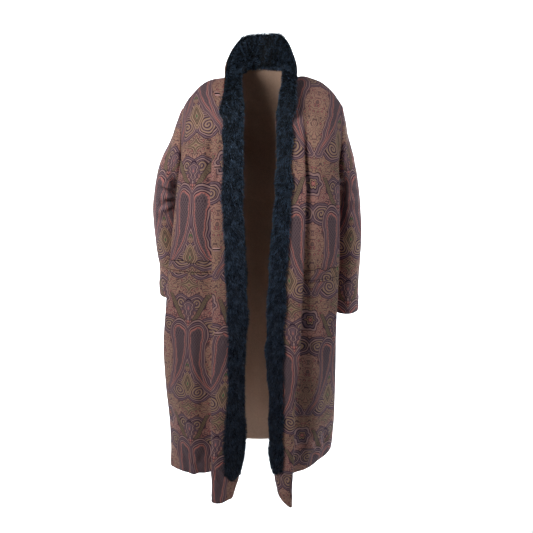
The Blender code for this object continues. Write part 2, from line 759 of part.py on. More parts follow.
def build_coat():
    clear_scene()
    right_front, right_back = body_half(SECTIONS_RIGHT, HEM_RIGHT, SHOULDER_RIGHT, -1)
    left_front, left_back = body_half(SECTIONS_LEFT, HEM_LEFT, SHOULDER_LEFT, 1)
    right_ring = ring_directions(right_front, right_back, -1)
    left_ring = ring_directions(left_front, left_back, 1)
    right_fn, right_bn = body_normals(right_front, right_back, -1, right_ring)
    left_fn, left_bn = body_normals(left_front, left_back, 1, left_ring)

    make_front("front_right", right_front, right_fn)
    make_front("front_left", left_front, left_fn)
    make_back(right_back, right_bn, left_back, left_bn)

    make_cuff("cuff_right", make_sleeve("sleeve_right", SLEEVE_RIGHT, right_ring, -1), -1)
    make_cuff("cuff_left", make_sleeve("sleeve_left", SLEEVE_LEFT, left_ring, 1), 1)

    right_low, right_up = fur_base(right_front, right_fn, COLLAR_FREE_RIGHT, FUR_END_RIGHT, -1)
    left_low, left_up = fur_base(left_front, left_fn, COLLAR_FREE_LEFT, FUR_END_LEFT, 1)
    make_fur("fur_right", right_low, right_up)
    make_fur("fur_left", left_low, left_up)
    make_under_collar("under_collar_right", right_up)
    make_under_collar("under_collar_left", left_up)

    make_patch("pocket_welt_right", right_front, right_fn, WELT_RIGHT["columns"],
               (WELT_RIGHT["bottom"], WELT_RIGHT["top"]), WELT_THICKNESS, WELT_ROWS, "cloth")
    make_patch("pocket_welt_left", left_front, left_fn, WELT_LEFT["columns"],
               (WELT_LEFT["bottom"], WELT_LEFT["top"]), WELT_THICKNESS, WELT_ROWS, "cloth")
    for number, (height, columns) in enumerate(zip(BUTTONHOLE_HEIGHTS, BUTTONHOLE_COLUMNS), 1):
        half = BUTTONHOLE_WIDTH / 2
        make_patch(f"buttonhole_{number}", right_front, right_fn, columns,
                   (height - half, height + half), BUTTONHOLE_THICKNESS, 1, "binding")


build_coat()
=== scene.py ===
"""How the open paisley coat with the fur collar looks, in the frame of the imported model.

The cloth pieces are thin shells that follow the solids' sections, sampled finely and creased. At
the shoulders, the hem and the left collar's edge they lie up to 13 mm off them, and the folds
beside the bands are up to 24 mm deeper.  The fur is a soft core with short blades of hair on it.  The
cloth's design is worked out in its material, from places on the cloth in millimetres.
"""

import math
from types import SimpleNamespace

import bpy
import numpy as np
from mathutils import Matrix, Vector


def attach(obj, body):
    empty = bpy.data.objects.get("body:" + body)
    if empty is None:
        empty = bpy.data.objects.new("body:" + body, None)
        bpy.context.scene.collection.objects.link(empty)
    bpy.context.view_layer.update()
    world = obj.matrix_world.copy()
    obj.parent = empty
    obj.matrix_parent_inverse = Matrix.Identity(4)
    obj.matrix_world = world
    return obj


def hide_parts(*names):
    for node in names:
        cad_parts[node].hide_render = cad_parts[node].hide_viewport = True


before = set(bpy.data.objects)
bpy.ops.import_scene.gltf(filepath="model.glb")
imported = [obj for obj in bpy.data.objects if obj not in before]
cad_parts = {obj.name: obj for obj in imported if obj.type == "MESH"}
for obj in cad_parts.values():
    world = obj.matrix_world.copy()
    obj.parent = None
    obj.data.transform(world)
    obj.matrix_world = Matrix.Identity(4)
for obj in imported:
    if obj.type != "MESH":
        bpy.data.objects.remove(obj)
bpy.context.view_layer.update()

# Sizes in millimetres, and counts of mesh steps
MM = 0.001
SHELL = 1.8
SEAM_GAP = 0.3
SEAM_DIP = 1.2
SEAM_WIDTH = 5.0
ARMHOLE_GAP = 0.5
LIFT = 0.5
UNDERARM_HEIGHT = -280
HEM_HEIGHT = -1157
HEM_REACH = 150                     # above the hem, where its own shape has faded out
ROWS_BELOW_ARM = 20
ROWS_ABOVE_ARM = 8
SPAN = 3                            # mesh steps between two points of a section
BAND = 3                            # mesh steps from the front edge to the end of the fur band
FRONT_FINE = 6                      # samples to one mesh step
SLEEVE_FINE = 7
CURVE_SAMPLES = 40
FRONT_CENTRE = (0, 20, 0)
MIDDLE = (0, 0, 0)

# Body: a row has a height, then how far out and how far back each point of the section lies.  In
# front these are the edge, the band's end, the fold's ridge and turn, the panel, the flank, the tuck
# under the arm and the side seam; behind, the side, the blade and the centre.
SECTIONS_BACK = (
    (-280, (184, 92), (110, 122), (0, 128)),
    (-460, (178, 106), (110, 136), (0, 142)),
    (-640, (184, 114), (114, 144), (0, 150)),
    (-740, (200, 118), (120, 149), (0, 155)),
    (-870, (208, 125), (124, 154), (0, 160)),
    (-1000, (212, 131), (127, 159), (0, 165)),
    (-1157, (212, 138), (129, 164), (0, 170)),
)
NECKLINE = ((44, -106, -98), (55, -88, -55), (75, -48, -14), (88, 0, 3), (78, 52, 12),
            (45, 82, 16), (0, 92, 17))
BACK_ROUND = 14
NECKLINE_START = 0.62               # of the way up from the underarm, where the neckline leaves the edge
SLEEVE_ROWS = 15
SLEEVE_PHASE = -30.0                # shift of the cloth's design
CUFF_HEIGHT = 46
CUFF_FLARE = 1.02
CUFF_ROWS = 19
ARMHOLE_FRONT_BULGE = 52
ARMHOLE_BACK_BULGE = 98
ARMHOLE_LEAN = 4
# How far up the armhole a point is, and its share of the bulge
ARMHOLE_ROUND = ((0.22, 0.66), (0.5, 1.0), (0.8, 0.66))

# Fur and collar
FUR_DEPTH = 15
FUR_DEPTH_NECK = 19
FUR_SWELL_ROWS = 4
FUR_OVERHANG = 6
FUR_END_TAPER = (0.45, 0.85)
FUR_SIDE = 0.45
FUR_SHOULDER = 0.85
FUR_FINE = 5
MIDDLE_LAP = 1.6                    # by which the two furs meet at the back
PILE = 3.4                          # how far below the tips the core lies
HAIRS = 56000
HAIR_LENGTH = 8.5
NECK_ROWS = 16
NECK_CLEARANCE = 5
NECK_RISE = 1.35
COLLAR_LIFT = 3.0
COLLAR_BOW = 5
COLLAR_SKIPS = 2
COLLAR_FINE = (4, 5)
COLLAR_HEEL = 4.5
UNDER_COLLAR_INSET = 6

# What is sewn on
WELT_MESH = (90, 22)                # points across and up
STITCH_ROW = 3                      # of the welt's rows of faces, from its lower edge
HOLE_MESH = (26, 17)
HOLE_WIDTH = 9
SLIT_ROWS = 3.1
# Each hole's height, and the mesh columns where it starts and ends
BUTTONHOLES = ((-36, (3.7, 5.1)), (-217, (3.9, 5.3)), (-433, (4.0, 5.5)), (-666, (4.0, 5.45)))
BAND_FOLD = 6                       # the mesh column of the fold at the band
BESIDE_BAND = 7.9                   # the mesh column where the panel lies deepest

# The two sides of the coat, the wearer's right first.  A sleeve's row has its outer and its inner
# point (out, up), then how far back its middle lies and its half depth.  fur_trim and fur_reach
# say how much narrower or wider the fur is, by height.  A fold has a line of x and z as the photo
# shows it, its width and its height.
RIGHT = SimpleNamespace(
    name="right", sign=-1, seeds=(11, 31, 61, 81),
    sections=(
        (-280, (49, -118), (94, -130), (128, -135), (139, -121), (176, -106), (221, -60),
         (207, -14), (203, 28)),
        (-460, (44, -133), (87, -147), (126, -152), (138, -124), (186, -115), (242, -80),
         (208, -33), (193, 38)),
        (-640, (38, -139), (82, -155), (127, -159), (140, -114), (196, -107), (264, -64),
         (210, -25), (196, 50)),
        (-740, (44, -143), (84, -159), (131, -163), (141, -106), (203, -99), (274, -40),
         (258, 8), (232, 62)),
        (-870, (48, -147), (86, -163), (134, -165), (143, -92), (206, -88), (274, -25),
         (267, 20), (248, 68)),
        (-1000, (45, -150), (98, -170), (137, -168), (144, -76), (204, -77), (267, -12),
         (267, 30), (252, 76)),
        (-1157, (60, -146), (94, -178), (139, -170), (142, -58), (198, -64), (268, -6),
         (262, 36), (252, 82)),
    ),
    hem=(-1119, -1168, -1175, -1152, -1150, -1155, -1157, -1157),
    shoulder=((88, 4), (120, -2), (148, -12), (170, -32), (192, -56), (207, -80)),
    sleeve=(
        (225, -120, 217, -281, 24, 77),
        (243, -166, 227, -294, 29, 74),
        (268, -213, 230, -316, 34, 70),
        (288, -272, 229, -350, 38, 66),
        (299, -335, 226, -392, 41, 62),
        (301, -400, 223, -438, 43, 60),
        (295, -480, 219, -496, 44, 58),
        (290, -532, 216, -537, 44, 56),
        (291, -568, 216, -570, 44, 55),
    ),
    collar=((98, -128, -97), (95, -116, -56), (88, -84, -10), (83, -25, 36), (73, 22, 67),
            (54, 68, 96), (32, 92, 104), (0, 104, 106)),
    fur_end=(-1102, -1112, -1110, -1090), fur_roll=(38, 1.05),
    fur_trim=((-1120, 6), (-1085, 4), (-1040, 0), (200, 0)),
    fur_reach=((-230, 0), (-170, 5), (-130, 13), (-95, 8), (-60, 0)),
    welt={"columns": (6.4, 15.0), "heights": (-512, -473)},
    design_axis=12, design_shift=(0.0, -52.0), corner_drop=18.0, sunk=19.0, arm_in=3.0,
    folds=(
        (((-226, -960), (-214, -985)), 7, -3.0),
        (((-232, -985), (-216, -1012)), 6, -2.5),
        (((-205, -1085), (-182, -1130), (-176, -1160)), 8, -5.5),
        (((-236, -1060), (-222, -1100), (-214, -1150)), 8, -4.5),
        (((-170, -1080), (-182, -1130)), 8, -4.5),
        (((-132, -1060), (-112, -1100), (-100, -1118)), 6, -6.0),
        (((-122, -1050), (-100, -1084)), 6, 3.5),
        (((-110, -1128), (-88, -1150)), 6, -4.5),
        (((-124, -1100), (-104, -1136)), 6, 3.0),
        (((-212, -620), (-206, -800), (-216, -980)), 18, -3.0),
        (((-168, -560), (-166, -760), (-160, -1000)), 14, -2.5),
        (((-188, -130), (-168, -190)), 12, -2.0),
        (((-148, -120), (-124, -140)), 6, -2.5),
        (((-146, -205), (-132, -222)), 6, -2.0),
        (((-96, -230), (-118, -262)), 6, -1.8),
        (((-98, -205), (-120, -190)), 6, -1.8),
        (((-96, -446), (-120, -470)), 6, -1.8),
        (((-100, -418), (-122, -400)), 6, -1.6),
        (((-92, -680), (-118, -704)), 6, -1.8),
        (((-92, -650), (-116, -630)), 6, -1.6),
        (((-210, -90), (-196, -170), (-200, -240)), 10, -2.5),
    ),
    sleeve_folds=(
        (((-222, -318), (-246, -302), (-280, -296)), 6.5, -7.5),
        (((-222, -332), (-250, -334), (-288, -350)), 6.5, -6.0),
        (((-224, -304), (-240, -280), (-266, -256)), 6, -7.0),
        (((-226, -288), (-234, -262), (-250, -228)), 6, -5.5),
        (((-226, -312), (-256, -318), (-284, -322)), 6, 4.0),
        (((-228, -296), (-252, -286), (-276, -278)), 6, 4.0),
        (((-222, -344), (-244, -356), (-272, -376)), 7, -4.0),
        (((-228, -360), (-262, -384), (-292, -390)), 10, -3.0),
        (((-288, -450), (-256, -480), (-226, -492)), 11, -2.5),
        (((-226, -420), (-256, -436)), 9, -2.2),
        (((-284, -520), (-250, -540), (-222, -538)), 9, -2.2),
        (((-222, -200), (-232, -250)), 9, -3.0),
    ),
)
LEFT = SimpleNamespace(
    name="left", sign=1, seeds=(21, 51, 71, 91),
    sections=(
        (-280, (48, -118), (83, -130), (124, -135), (133, -122), (171, -107), (216, -60),
         (209, -14), (206, 28)),
        (-460, (30, -133), (72, -150), (120, -153), (131, -127), (173, -112), (219, -75),
         (203, -33), (190, 38)),
        (-680, (21, -140), (65, -158), (115, -160), (128, -114), (173, -101), (217, -62),
         (200, -24), (190, 54)),
        (-770, (21, -143), (63, -161), (110, -163), (125, -106), (172, -88), (218, -38),
         (216, 10), (202, 68)),
        (-870, (31, -147), (62, -165), (102, -165), (119, -94), (170, -74), (219, -12),
         (219, 34), (206, 80)),
        (-1000, (30, -150), (64, -171), (100, -166), (113, -77), (165, -50), (221, 12),
         (222, 54), (210, 94)),
        (-1157, (44, -150), (58, -176), (95, -165), (104, -55), (150, -22), (217, 46),
         (217, 76), (208, 106)),
    ),
    hem=(-1122, -1160, -1196, -1160, -1151, -1130, -1133, -1140),
    shoulder=((88, 10), (118, 6), (145, -1), (169, -11), (200, -39), (225, -72)),
    sleeve=(
        (236, -120, 222, -279, 24, 77),
        (243, -158, 228, -294, 29, 74),
        (262, -215, 229, -316, 34, 70),
        (277, -290, 226, -356, 38, 66),
        (286, -355, 222, -400, 41, 62),
        (291, -425, 218, -450, 43, 60),
        (291, -500, 216, -512, 44, 58),
        (288, -570, 214, -575, 44, 56),
        (289, -616, 214, -618, 44, 55),
    ),
    collar=((91, -128, -97), (95, -116, -56), (97, -86, -12), (98, -25, 32), (88, 22, 66),
            (74, 64, 98), (48, 90, 107), (0, 104, 106)),
    fur_end=(-1096, -1092, -1088, -1074), fur_roll=(20, 1.15),
    fur_trim=((-1120, 6), (-720, 8), (-460, 10), (-340, 6), (-270, 3), (-215, 8), (-160, 12),
              (-20, 12), (20, 4), (200, 0)),
    fur_reach=((-230, 0), (-170, 4), (-130, 9), (-95, 5), (-60, 0)),
    welt={"columns": (9.0, 14.6), "heights": (-534, -497)},
    design_axis=10, design_shift=(-86.0, -107.0), corner_drop=0.0, sunk=24.0, arm_in=9.0,
    folds=(
        (((60, -1100), (88, -1092)), 7, -4.0),
        (((66, -1126), (92, -1112)), 6, 2.5),
        (((120, -1060), (144, -1096)), 7, -6.0),
        (((136, -1040), (160, -1074)), 7, 4.0),
        (((146, -1080), (168, -1120)), 7, -5.0),
        (((104, -1020), (112, -1040), (104, -1062)), 7, 3.5),
        (((166, -1060), (176, -1110)), 8, -4.5),
        (((192, -1030), (196, -1090)), 8, -4.5),
        (((170, -300), (166, -520), (158, -700)), 16, -2.5),
        (((190, -620), (186, -820), (190, -1000)), 18, -3.0),
        (((64, -300), (100, -318)), 7, -1.6),
        (((52, -560), (92, -590)), 8, -1.6),
        (((150, -230), (176, -262)), 8, -2.5),
        (((128, -236), (150, -262)), 8, -2.5),
        (((96, -60), (118, -110)), 10, -2.0),
        (((150, -60), (172, -120)), 10, -2.0),
    ),
    sleeve_folds=(
        (((226, -322), (252, -300), (276, -290)), 10, -5.0),
        (((224, -340), (254, -350), (282, -372)), 10, -3.5),
        (((228, -300), (244, -264), (262, -236)), 9, -4.0),
        (((238, -322), (266, -326)), 9, 2.5),
        (((222, -420), (252, -446), (286, -450)), 11, -2.6),
        (((288, -500), (256, -532), (222, -544)), 11, -2.6),
        (((218, -600), (250, -588), (284, -596)), 9, -2.2),
        (((222, -200), (236, -252)), 9, -3.0),
    ),
)
FOLDS_BACK = (
    (((-150, -180), (-166, -300), (-172, -440)), 16, -4.0),
    (((152, -180), (168, -300), (172, -440)), 16, -4.0),
    (((-120, -420), (-138, -700), (-150, -1130)), 22, -5.0),
    (((-66, -560), (-74, -800), (-84, -1150)), 24, 5.0),
    (((8, -520), (2, -820), (-6, -1150)), 24, -5.0),
    (((72, -600), (80, -820), (88, -1150)), 24, 5.0),
    (((126, -460), (142, -720), (152, -1130)), 22, -5.0),
    (((-60, -60), (0, -74), (62, -58)), 14, -2.5),
    (((-186, -700), (-196, -900), (-200, -1130)), 16, 4.0),
    (((186, -700), (196, -900), (200, -1130)), 16, 4.0),
)


# Curves and grids: arrays whose last axis is x, y and z

def unit(vectors):
    return vectors / np.maximum(np.linalg.norm(vectors, axis=-1, keepdims=True), 1e-9)


def between(before, a, b, after, t):
    """A place from a to b on the Catmull-Rom curve through four points."""
    t2, t3 = t * t, t * t * t
    return (a * (2 * t3 - 3 * t2 + 1) + (b - before) * 0.5 * (t3 - 2 * t2 + t)
            + b * (3 * t2 - 2 * t3) + (after - a) * 0.5 * (t3 - t2))


def curve_point(points, place):
    """The point of a smooth curve at a place counted in control points."""
    last = len(points) - 1
    start = min(max(int(place), 0), last - 1)
    a, b = points[start], points[start + 1]
    before = points[start - 1] if start > 0 else 2 * a - b
    after = points[start + 2] if start + 2 <= last else 2 * b - a
    return between(before, a, b, after, place - start)


def finer(points, steps, closed=False):
    """Sample smooth curves through the first axis of an array with more steps."""
    if closed:
        full = np.concatenate([points[-1:], points, points[:2]])
    else:
        full = np.concatenate([2 * points[:1] - points[1:2], points,
                               2 * points[-1:] - points[-2:-1]])
    t = (np.arange(steps) / steps).reshape((1, steps) + (1,) * (points.ndim - 1))
    four = (x[:, None] for x in (full[:-3], full[1:-2], full[2:-1], full[3:]))
    result = between(*four, t).reshape((-1,) + points.shape[1:])
    return result if closed else np.concatenate([result, points[-1:]])


def fine_grid(grid, down, across, closed=False):
    return finer(finer(grid, down).transpose(1, 0, 2), across, closed).transpose(1, 0, 2)


def even_curve(points, count):
    """A count of points at even lengths along the smooth curve through the given points."""
    dense = finer(np.array(points, dtype=float), CURVE_SAMPLES)
    lengths = np.append(0, np.cumsum(np.linalg.norm(np.diff(dense, axis=0), axis=1)))
    wanted = np.linspace(0, lengths[-1], count)
    return np.column_stack([np.interp(wanted, lengths, dense[:, k]) for k in range(3)])


def coons(bottom, top, start, end):
    """Fill four edge curves; bottom and top have as many points, and so have start and end."""
    u = np.linspace(0, 1, len(bottom))[None, :, None]
    w = np.linspace(0, 1, len(start))[:, None, None]
    ruled = bottom * (1 - w) + top * w + start[:, None] * (1 - u) + end[:, None] * u
    corners = ((bottom[0] * (1 - u) + bottom[-1] * u) * (1 - w)
               + (top[0] * (1 - u) + top[-1] * u) * w)
    return ruled - corners


def normals_of(grid, closed=False):
    """Unit normals of a grid: its direction across, crossed with its direction up."""
    if closed:
        across = np.roll(grid, -1, axis=1) - np.roll(grid, 1, axis=1)
    else:
        across = np.gradient(grid, axis=1)
    return unit(np.cross(across, np.gradient(grid, axis=0)))


def outward_normals(grid, centre=None, closed=False):
    """Normals turned away from an upright line, or else from the middle of each row."""
    normals = normals_of(grid, closed)
    if centre is None:
        away = grid - grid.mean(axis=1, keepdims=True)
    else:
        away = (grid - centre) * (1, 1, 0)
    return -normals if np.median((away * normals).sum(axis=2)) < 0 else normals


def wrapped(grid):
    """A tube's grid with its first column again at the end."""
    return np.concatenate([grid, grid[:, :1]], axis=1)


def lengths_along(grid, axis):
    step = np.linalg.norm(np.diff(grid, axis=axis), axis=2)
    zero = np.zeros_like(np.take(step, [0], axis=axis))
    return np.concatenate([zero, np.cumsum(step, axis=axis)], axis=axis)


def at(grid, row, column):
    """Values of a grid at places between its points."""
    row = np.clip(row, 0, grid.shape[0] - 1.000001)
    column = np.clip(column, 0, grid.shape[1] - 1.000001)
    j, i = row.astype(int), column.astype(int)
    v, u = (row - j)[..., None], (column - i)[..., None]
    return ((grid[j, i] * (1 - u) + grid[j, i + 1] * u) * (1 - v)
            + (grid[j + 1, i] * (1 - u) + grid[j + 1, i + 1] * u) * v)


# The surfaces of the body, the sleeves and the fur

def stations_at(table, height, sign):
    """The points of a table of sections at a height between its rows."""
    levels = [-row[0] for row in table]
    points = np.array([row[1:] for row in table], dtype=float)
    x, y = curve_point(points, np.interp(-height, levels, range(len(levels)))).T
    return np.column_stack([sign * x, y, np.full(len(x), height)])


def section_points(stations, before=None, after=None):
    """A smooth line through stations, which may heed a point before and one after them."""
    chain = [p for p in (before, *stations, after) if p is not None]
    line = finer(np.array(chain), SPAN)
    start = 0 if before is None else SPAN
    return line[start:start + SPAN * (len(stations) - 1) + 1]


def lower_rows(side):
    """Rows of points from the hem to the underarm: of a front, and of half the back."""
    drop = section_points(np.array([(0.0, 0.0, level - HEM_HEIGHT) for level in side.hem]))
    front, back = [], []
    for height in np.linspace(HEM_HEIGHT, UNDERARM_HEIGHT, ROWS_BELOW_ARM + 1):
        felt = max(0.0, 1.0 - (height - HEM_HEIGHT) / HEM_REACH)
        stations = stations_at(side.sections, height, side.sign)
        behind = stations_at(SECTIONS_BACK, height, side.sign)
        front.append(section_points(stations, after=behind[0]) + drop * felt)
        mirrored = behind[-2] * (-1, 1, 1)
        rest = section_points([stations[-1], *behind], stations[-2], mirrored)
        back.append(rest + drop[-1] * felt * np.linspace(1, 0, len(rest))[:, None])
    return front, back


def neck_curve(sign):
    return np.array(NECKLINE, dtype=float) * (sign, 1, 1)


def armhole_curve(low, high, bulge, sign):
    knots = [low]
    for part, share in ARMHOLE_ROUND:
        knot = low + (high - low) * part + (sign * ARMHOLE_LEAN, 0, 0)
        knot[1] = bulge * share + (1 - share) * knot[1]
        knots.append(knot)
    return even_curve([*knots, high], ROWS_ABOVE_ARM + 1)


def body_half(side):
    """The grids of one front and one half of the back, from the hem up."""
    front, back = lower_rows(side)
    neck = neck_curve(side.sign)
    seam = np.array([(side.sign * x, 0.0, z) for x, z in side.shoulder])
    seam[0] = neck[3]

    row = front[-1]
    start_rows = round(NECKLINE_START * ROWS_ABOVE_ARM)
    edge = row[0] + (neck[0] - row[0]) * np.linspace(0, 1, start_rows + 1)[:, None]
    round_neck = even_curve(neck[:4], ROWS_ABOVE_ARM - start_rows + 1)
    top = even_curve(seam, len(row))
    armhole = armhole_curve(row[-1], top[-1], -ARMHOLE_FRONT_BULGE, side.sign)
    upper = coons(row, top, np.concatenate([edge, round_neck[1:]]), armhole)
    front = np.concatenate([front, upper[1:]])

    row = back[-1]
    over = even_curve(seam, len(row) - SPAN)
    top = np.concatenate([over[::-1], even_curve(neck[3:], SPAN + 1)[1:]])
    armhole = armhole_curve(row[0], top[0], ARMHOLE_BACK_BULGE, side.sign)
    halfway = (row[-1] + top[-1]) / 2 + (0, BACK_ROUND, 0)
    middle = even_curve([row[-1], halfway, top[-1]], ROWS_ABOVE_ARM + 1)
    back = np.concatenate([back, coons(row, top, armhole, middle)[1:]])
    return front, back


def sleeve_rings(side, front, back):
    """A sleeve's rings from the armhole, first point on top, to the cuff seam, outermost."""
    ring = np.concatenate([front[ROWS_BELOW_ARM:, -1], back[ROWS_BELOW_ARM:-1, 0][::-1]])
    count = len(ring)
    top = ring[(ring[:, 2].argmax() - np.arange(count)) % count]
    if top[1, 1] > top[-1, 1]:
        top = np.concatenate([top[:1], top[:0:-1]])
    path = [top + (side.sign * ARMHOLE_GAP, 0, 0)]
    angle = 2 * math.pi * np.arange(count)[:, None] / count
    for outer_x, outer_z, inner_x, inner_z, middle_y, half_depth in side.sleeve:
        outer = np.array((side.sign * outer_x, 0.0, outer_z))
        inner = np.array((side.sign * inner_x, 0.0, inner_z))
        path.append((outer + inner) / 2 + (0, middle_y, 0) + (outer - inner) / 2 * np.cos(angle)
                    - np.array((0, half_depth, 0)) * np.sin(angle))
    places = np.linspace(0, len(path) - 1, SLEEVE_ROWS + 1)
    return np.array([curve_point(path, place) for place in places])


def fur_base(side, front, normals):
    """What the fur lies on: the front's edge columns, then the collar round the neck."""
    first = round(NECKLINE_START * ROWS_ABOVE_ARM) + ROWS_BELOW_ARM
    lifted = front + normals * LIFT
    columns = np.arange(BAND + 1.0)
    start = np.array([np.interp(end, lifted[:first, i, 2], range(first))
                      for i, end in enumerate(side.fur_end)])
    lower = np.concatenate([at(lifted, start, columns)[None],
                            lifted[int(start.max()) + 1:first + 1, :BAND + 1]])
    seam = even_curve(neck_curve(side.sign), NECK_ROWS + 1)
    clear = unit(seam * (-1, -0.5, 0)) + (0, 0, NECK_RISE)
    seam += unit(clear) * NECK_CLEARANCE
    loose = even_curve(np.array(side.collar) * (side.sign, 1, 1), NECK_ROWS + 1)
    seam[-1, 0] = loose[-1, 0] = side.sign * SEAM_GAP / 2
    seam, loose = seam[1:, None], loose[1:, None]
    t = columns[:, None] / BAND
    share = np.minimum(1, np.arange(1, NECK_ROWS + 1) / 3)[:, None, None]
    bow = unit(loose * (1, 1, 0)) * COLLAR_BOW
    return lower, seam + (loose - seam) * t + bow * np.sin(math.pi * t) * share


def fur_rings(side, lower, upper):
    """Cross-sections of the fur, as deep as its pile, from its lower end to the back."""
    grid = np.concatenate([lower, upper])
    normals = normals_of(grid)
    if normals[len(grid) // 4, 1, 1] > 0:
        normals = -normals
    normals[-1] = unit(normals[-1] * (0, 1, 1))
    across = grid[:, -1:] - grid[:, :1]
    across[-1, :, 0] = 0
    across = unit(across)
    grid[-1, :, 0] -= MIDDLE_LAP * side.sign

    past_seam = np.maximum(0, np.arange(len(grid)) - len(lower))[:, None, None]
    swell = np.minimum(1, past_seam / FUR_SWELL_ROWS)
    depth = FUR_DEPTH + (FUR_DEPTH_NECK - FUR_DEPTH) * swell
    taper = np.ones_like(depth)
    taper[:len(FUR_END_TAPER), 0, 0] = FUR_END_TAPER
    roll_most, roll_rate = side.fur_roll
    roll = roll_most * np.sin(math.pi * np.minimum(1, past_seam / NECK_ROWS * roll_rate))
    trim = across * np.interp(grid[:, :1, 2:], *zip(*side.fur_trim))
    reach = across * np.interp(grid[:, -1:, 2:], *zip(*side.fur_reach))
    overhang = across * FUR_OVERHANG * taper
    inward = np.linspace(1, 0, BAND + 1)[:, None]
    full = np.array([FUR_SHOULDER, 1, 1, FUR_SHOULDER])[:, None]
    top = grid + normals * (depth * taper * full + roll * inward)
    top += trim * inward + reach * (1 - inward)
    end = grid[:, -1:] + normals[:, -1:] * depth * FUR_SIDE + overhang + reach
    start = grid[:, :1] + normals[:, :1] * (depth + roll) * FUR_SIDE - overhang + trim
    return np.concatenate([grid, end, top[:, ::-1], start], axis=1)


# Soft shapes over a surface

def smooth_step(low, high, value):
    t = np.clip((value - low) / (high - low), 0, 1)
    return t * t * (3 - 2 * t)


def bell(value, width):
    return np.exp(-(value / width) ** 2)


def hills(x, y, size, seed):
    """Smooth uneven heights between about -1 and 1, the same on every run."""
    source = np.random.default_rng(seed)
    total = np.zeros_like(x)
    for _ in range(7):
        angle = source.uniform(0, math.pi)
        wave = size * source.uniform(0.7, 1.6)
        phase = source.uniform(0, 2 * math.pi)
        total += np.sin((x * math.cos(angle) + y * math.sin(angle)) * 2 * math.pi / wave + phase)
    return total / 3.2


def near_line(x, z, line):
    """Distance from points to a polyline and how far along it, from 0 to 1."""
    best = np.full(x.shape, 1e9)
    where = np.zeros(x.shape)
    for k, ((ax, az), (bx, bz)) in enumerate(zip(line, line[1:])):
        dx, dz = bx - ax, bz - az
        t = np.clip(((x - ax) * dx + (z - az) * dz) / (dx * dx + dz * dz), 0, 1)
        away = np.hypot(x - ax - t * dx, z - az - t * dz)
        where = np.where(away < best, (k + t) / (len(line) - 1), where)
        best = np.minimum(away, best)
    return best, where


def creased(grid, folds):
    """Heights in millimetres from folds, seen from the front.

    A fold fades out at both ends, and a trough has a low swell on each side.
    """
    x, z = grid[:, :, 0], grid[:, :, 2]
    total = np.zeros(x.shape)
    for line, width, height in folds:
        away, where = near_line(x, z, line)
        fade = np.sin(math.pi * np.clip(where, 0.02, 0.98)) ** 0.6
        r = away / width
        total += height * fade * (np.exp(-r * r) - 0.35 * np.exp(-((r - 1.9) ** 2) * 1.6))
    return total


EDGES = {"start": (np.s_[:, 0], np.s_[:, 1]), "end": (np.s_[:, -1], np.s_[:, -2]),
         "top": (np.s_[-1], np.s_[-2])}


def sewn_surface(grid, normals, raised, seams):
    """Raise a grid along its normals; its seamed edges dip, and draw back by half a gap."""
    across, down = lengths_along(grid, 1), lengths_along(grid, 0)
    away = {"start": across, "end": across[:, -1:] - across, "top": down[-1:] - down}
    dips = sum(SEAM_DIP * bell(away[seam], SEAM_WIDTH) for seam in seams)
    outer = grid + normals * (raised - dips)[:, :, None]
    for seam in seams:
        edge, second = EDGES[seam]
        outer[edge] += unit(outer[second] - outer[edge]) * SEAM_GAP / 2
    return outer


# Meshes

def add_piece(name, points, faces, materials, uv=None, kinds=None):
    """Make a shown piece from points in millimetres; kinds has each face's material."""
    mesh = bpy.data.meshes.new(name)
    mesh.from_pydata((np.asarray(points) * MM).tolist(), [], faces)
    for material in materials:
        mesh.materials.append(material)
    if kinds is not None:
        mesh.polygons.foreach_set("material_index", kinds)
    if uv is not None:
        mesh.uv_layers.new(name="cloth").data.foreach_set("uv", (uv * MM).ravel())
    mesh.shade_smooth()
    mesh.update()
    item = bpy.data.objects.new(name, mesh)
    bpy.context.scene.collection.objects.link(item)
    return item


def quads(rows, columns, closed, shift=0, flip=False):
    faces = []
    for base in range(shift, shift + (rows - 1) * columns, columns):
        for i in range(columns if closed else columns - 1):
            k = (i + 1) % columns
            quad = (base + i, base + k, base + columns + k, base + columns + i)
            faces.append(quad[::-1] if flip else quad)
    return faces


def shell(name, outer, normals, cloth_places, materials, thickness=SHELL):
    """Close an outer grid and one a little further in into a thin piece of cloth.

    On a closed tube the places on the cloth have one column more than the grid, where they end.
    The outer faces come first, row by row, then the inner ones, then the rim.
    """
    rows, columns = outer.shape[:2]
    wide = cloth_places.shape[1]
    shift = rows * wide
    turn = np.cross(outer[0, 1] - outer[0, 0], outer[1, 0] - outer[0, 0])
    flip = np.dot(turn, normals[0, 0]) < 0
    outside = quads(rows, wide, False, 0, flip)
    inside = quads(rows, wide, False, shift, not flip)
    last_row = (rows - 1) * wide
    rim = []
    for i in range(wide - 1):
        rim.append((i + 1, i, shift + i, shift + i + 1))
        a = last_row + i
        rim.append((a, a + 1, shift + a + 1, shift + a))
    if wide == columns:
        for a in range(0, last_row, wide):
            rim.append((a, a + wide, shift + a + wide, shift + a))
            b = a + wide - 1
            rim.append((b + wide, b, shift + b, shift + b + wide))
    if flip:
        rim = [face[::-1] for face in rim]
    corners = np.array(outside + inside + rim)
    kinds = [0] * len(outside) + [1] * len(inside) + [0] * len(rim)
    layer, rest = np.divmod(corners, shift)
    row, column = np.divmod(rest, wide)
    merged = layer * rows * columns + row * columns + column % columns
    inner = outer - normals * thickness
    points = np.concatenate([outer.reshape(-1, 3), inner.reshape(-1, 3)])
    places = np.concatenate([cloth_places.reshape(-1, 2)] * 2)[corners.ravel()]
    return add_piece(name, points, merged.tolist(), materials, places, kinds)


def claim(item, slot, *nodes):
    """Attach a shown piece to the root body and hide the solids it replaces. The slot is not used."""
    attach(item, "root")
    if nodes:
        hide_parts(*nodes)


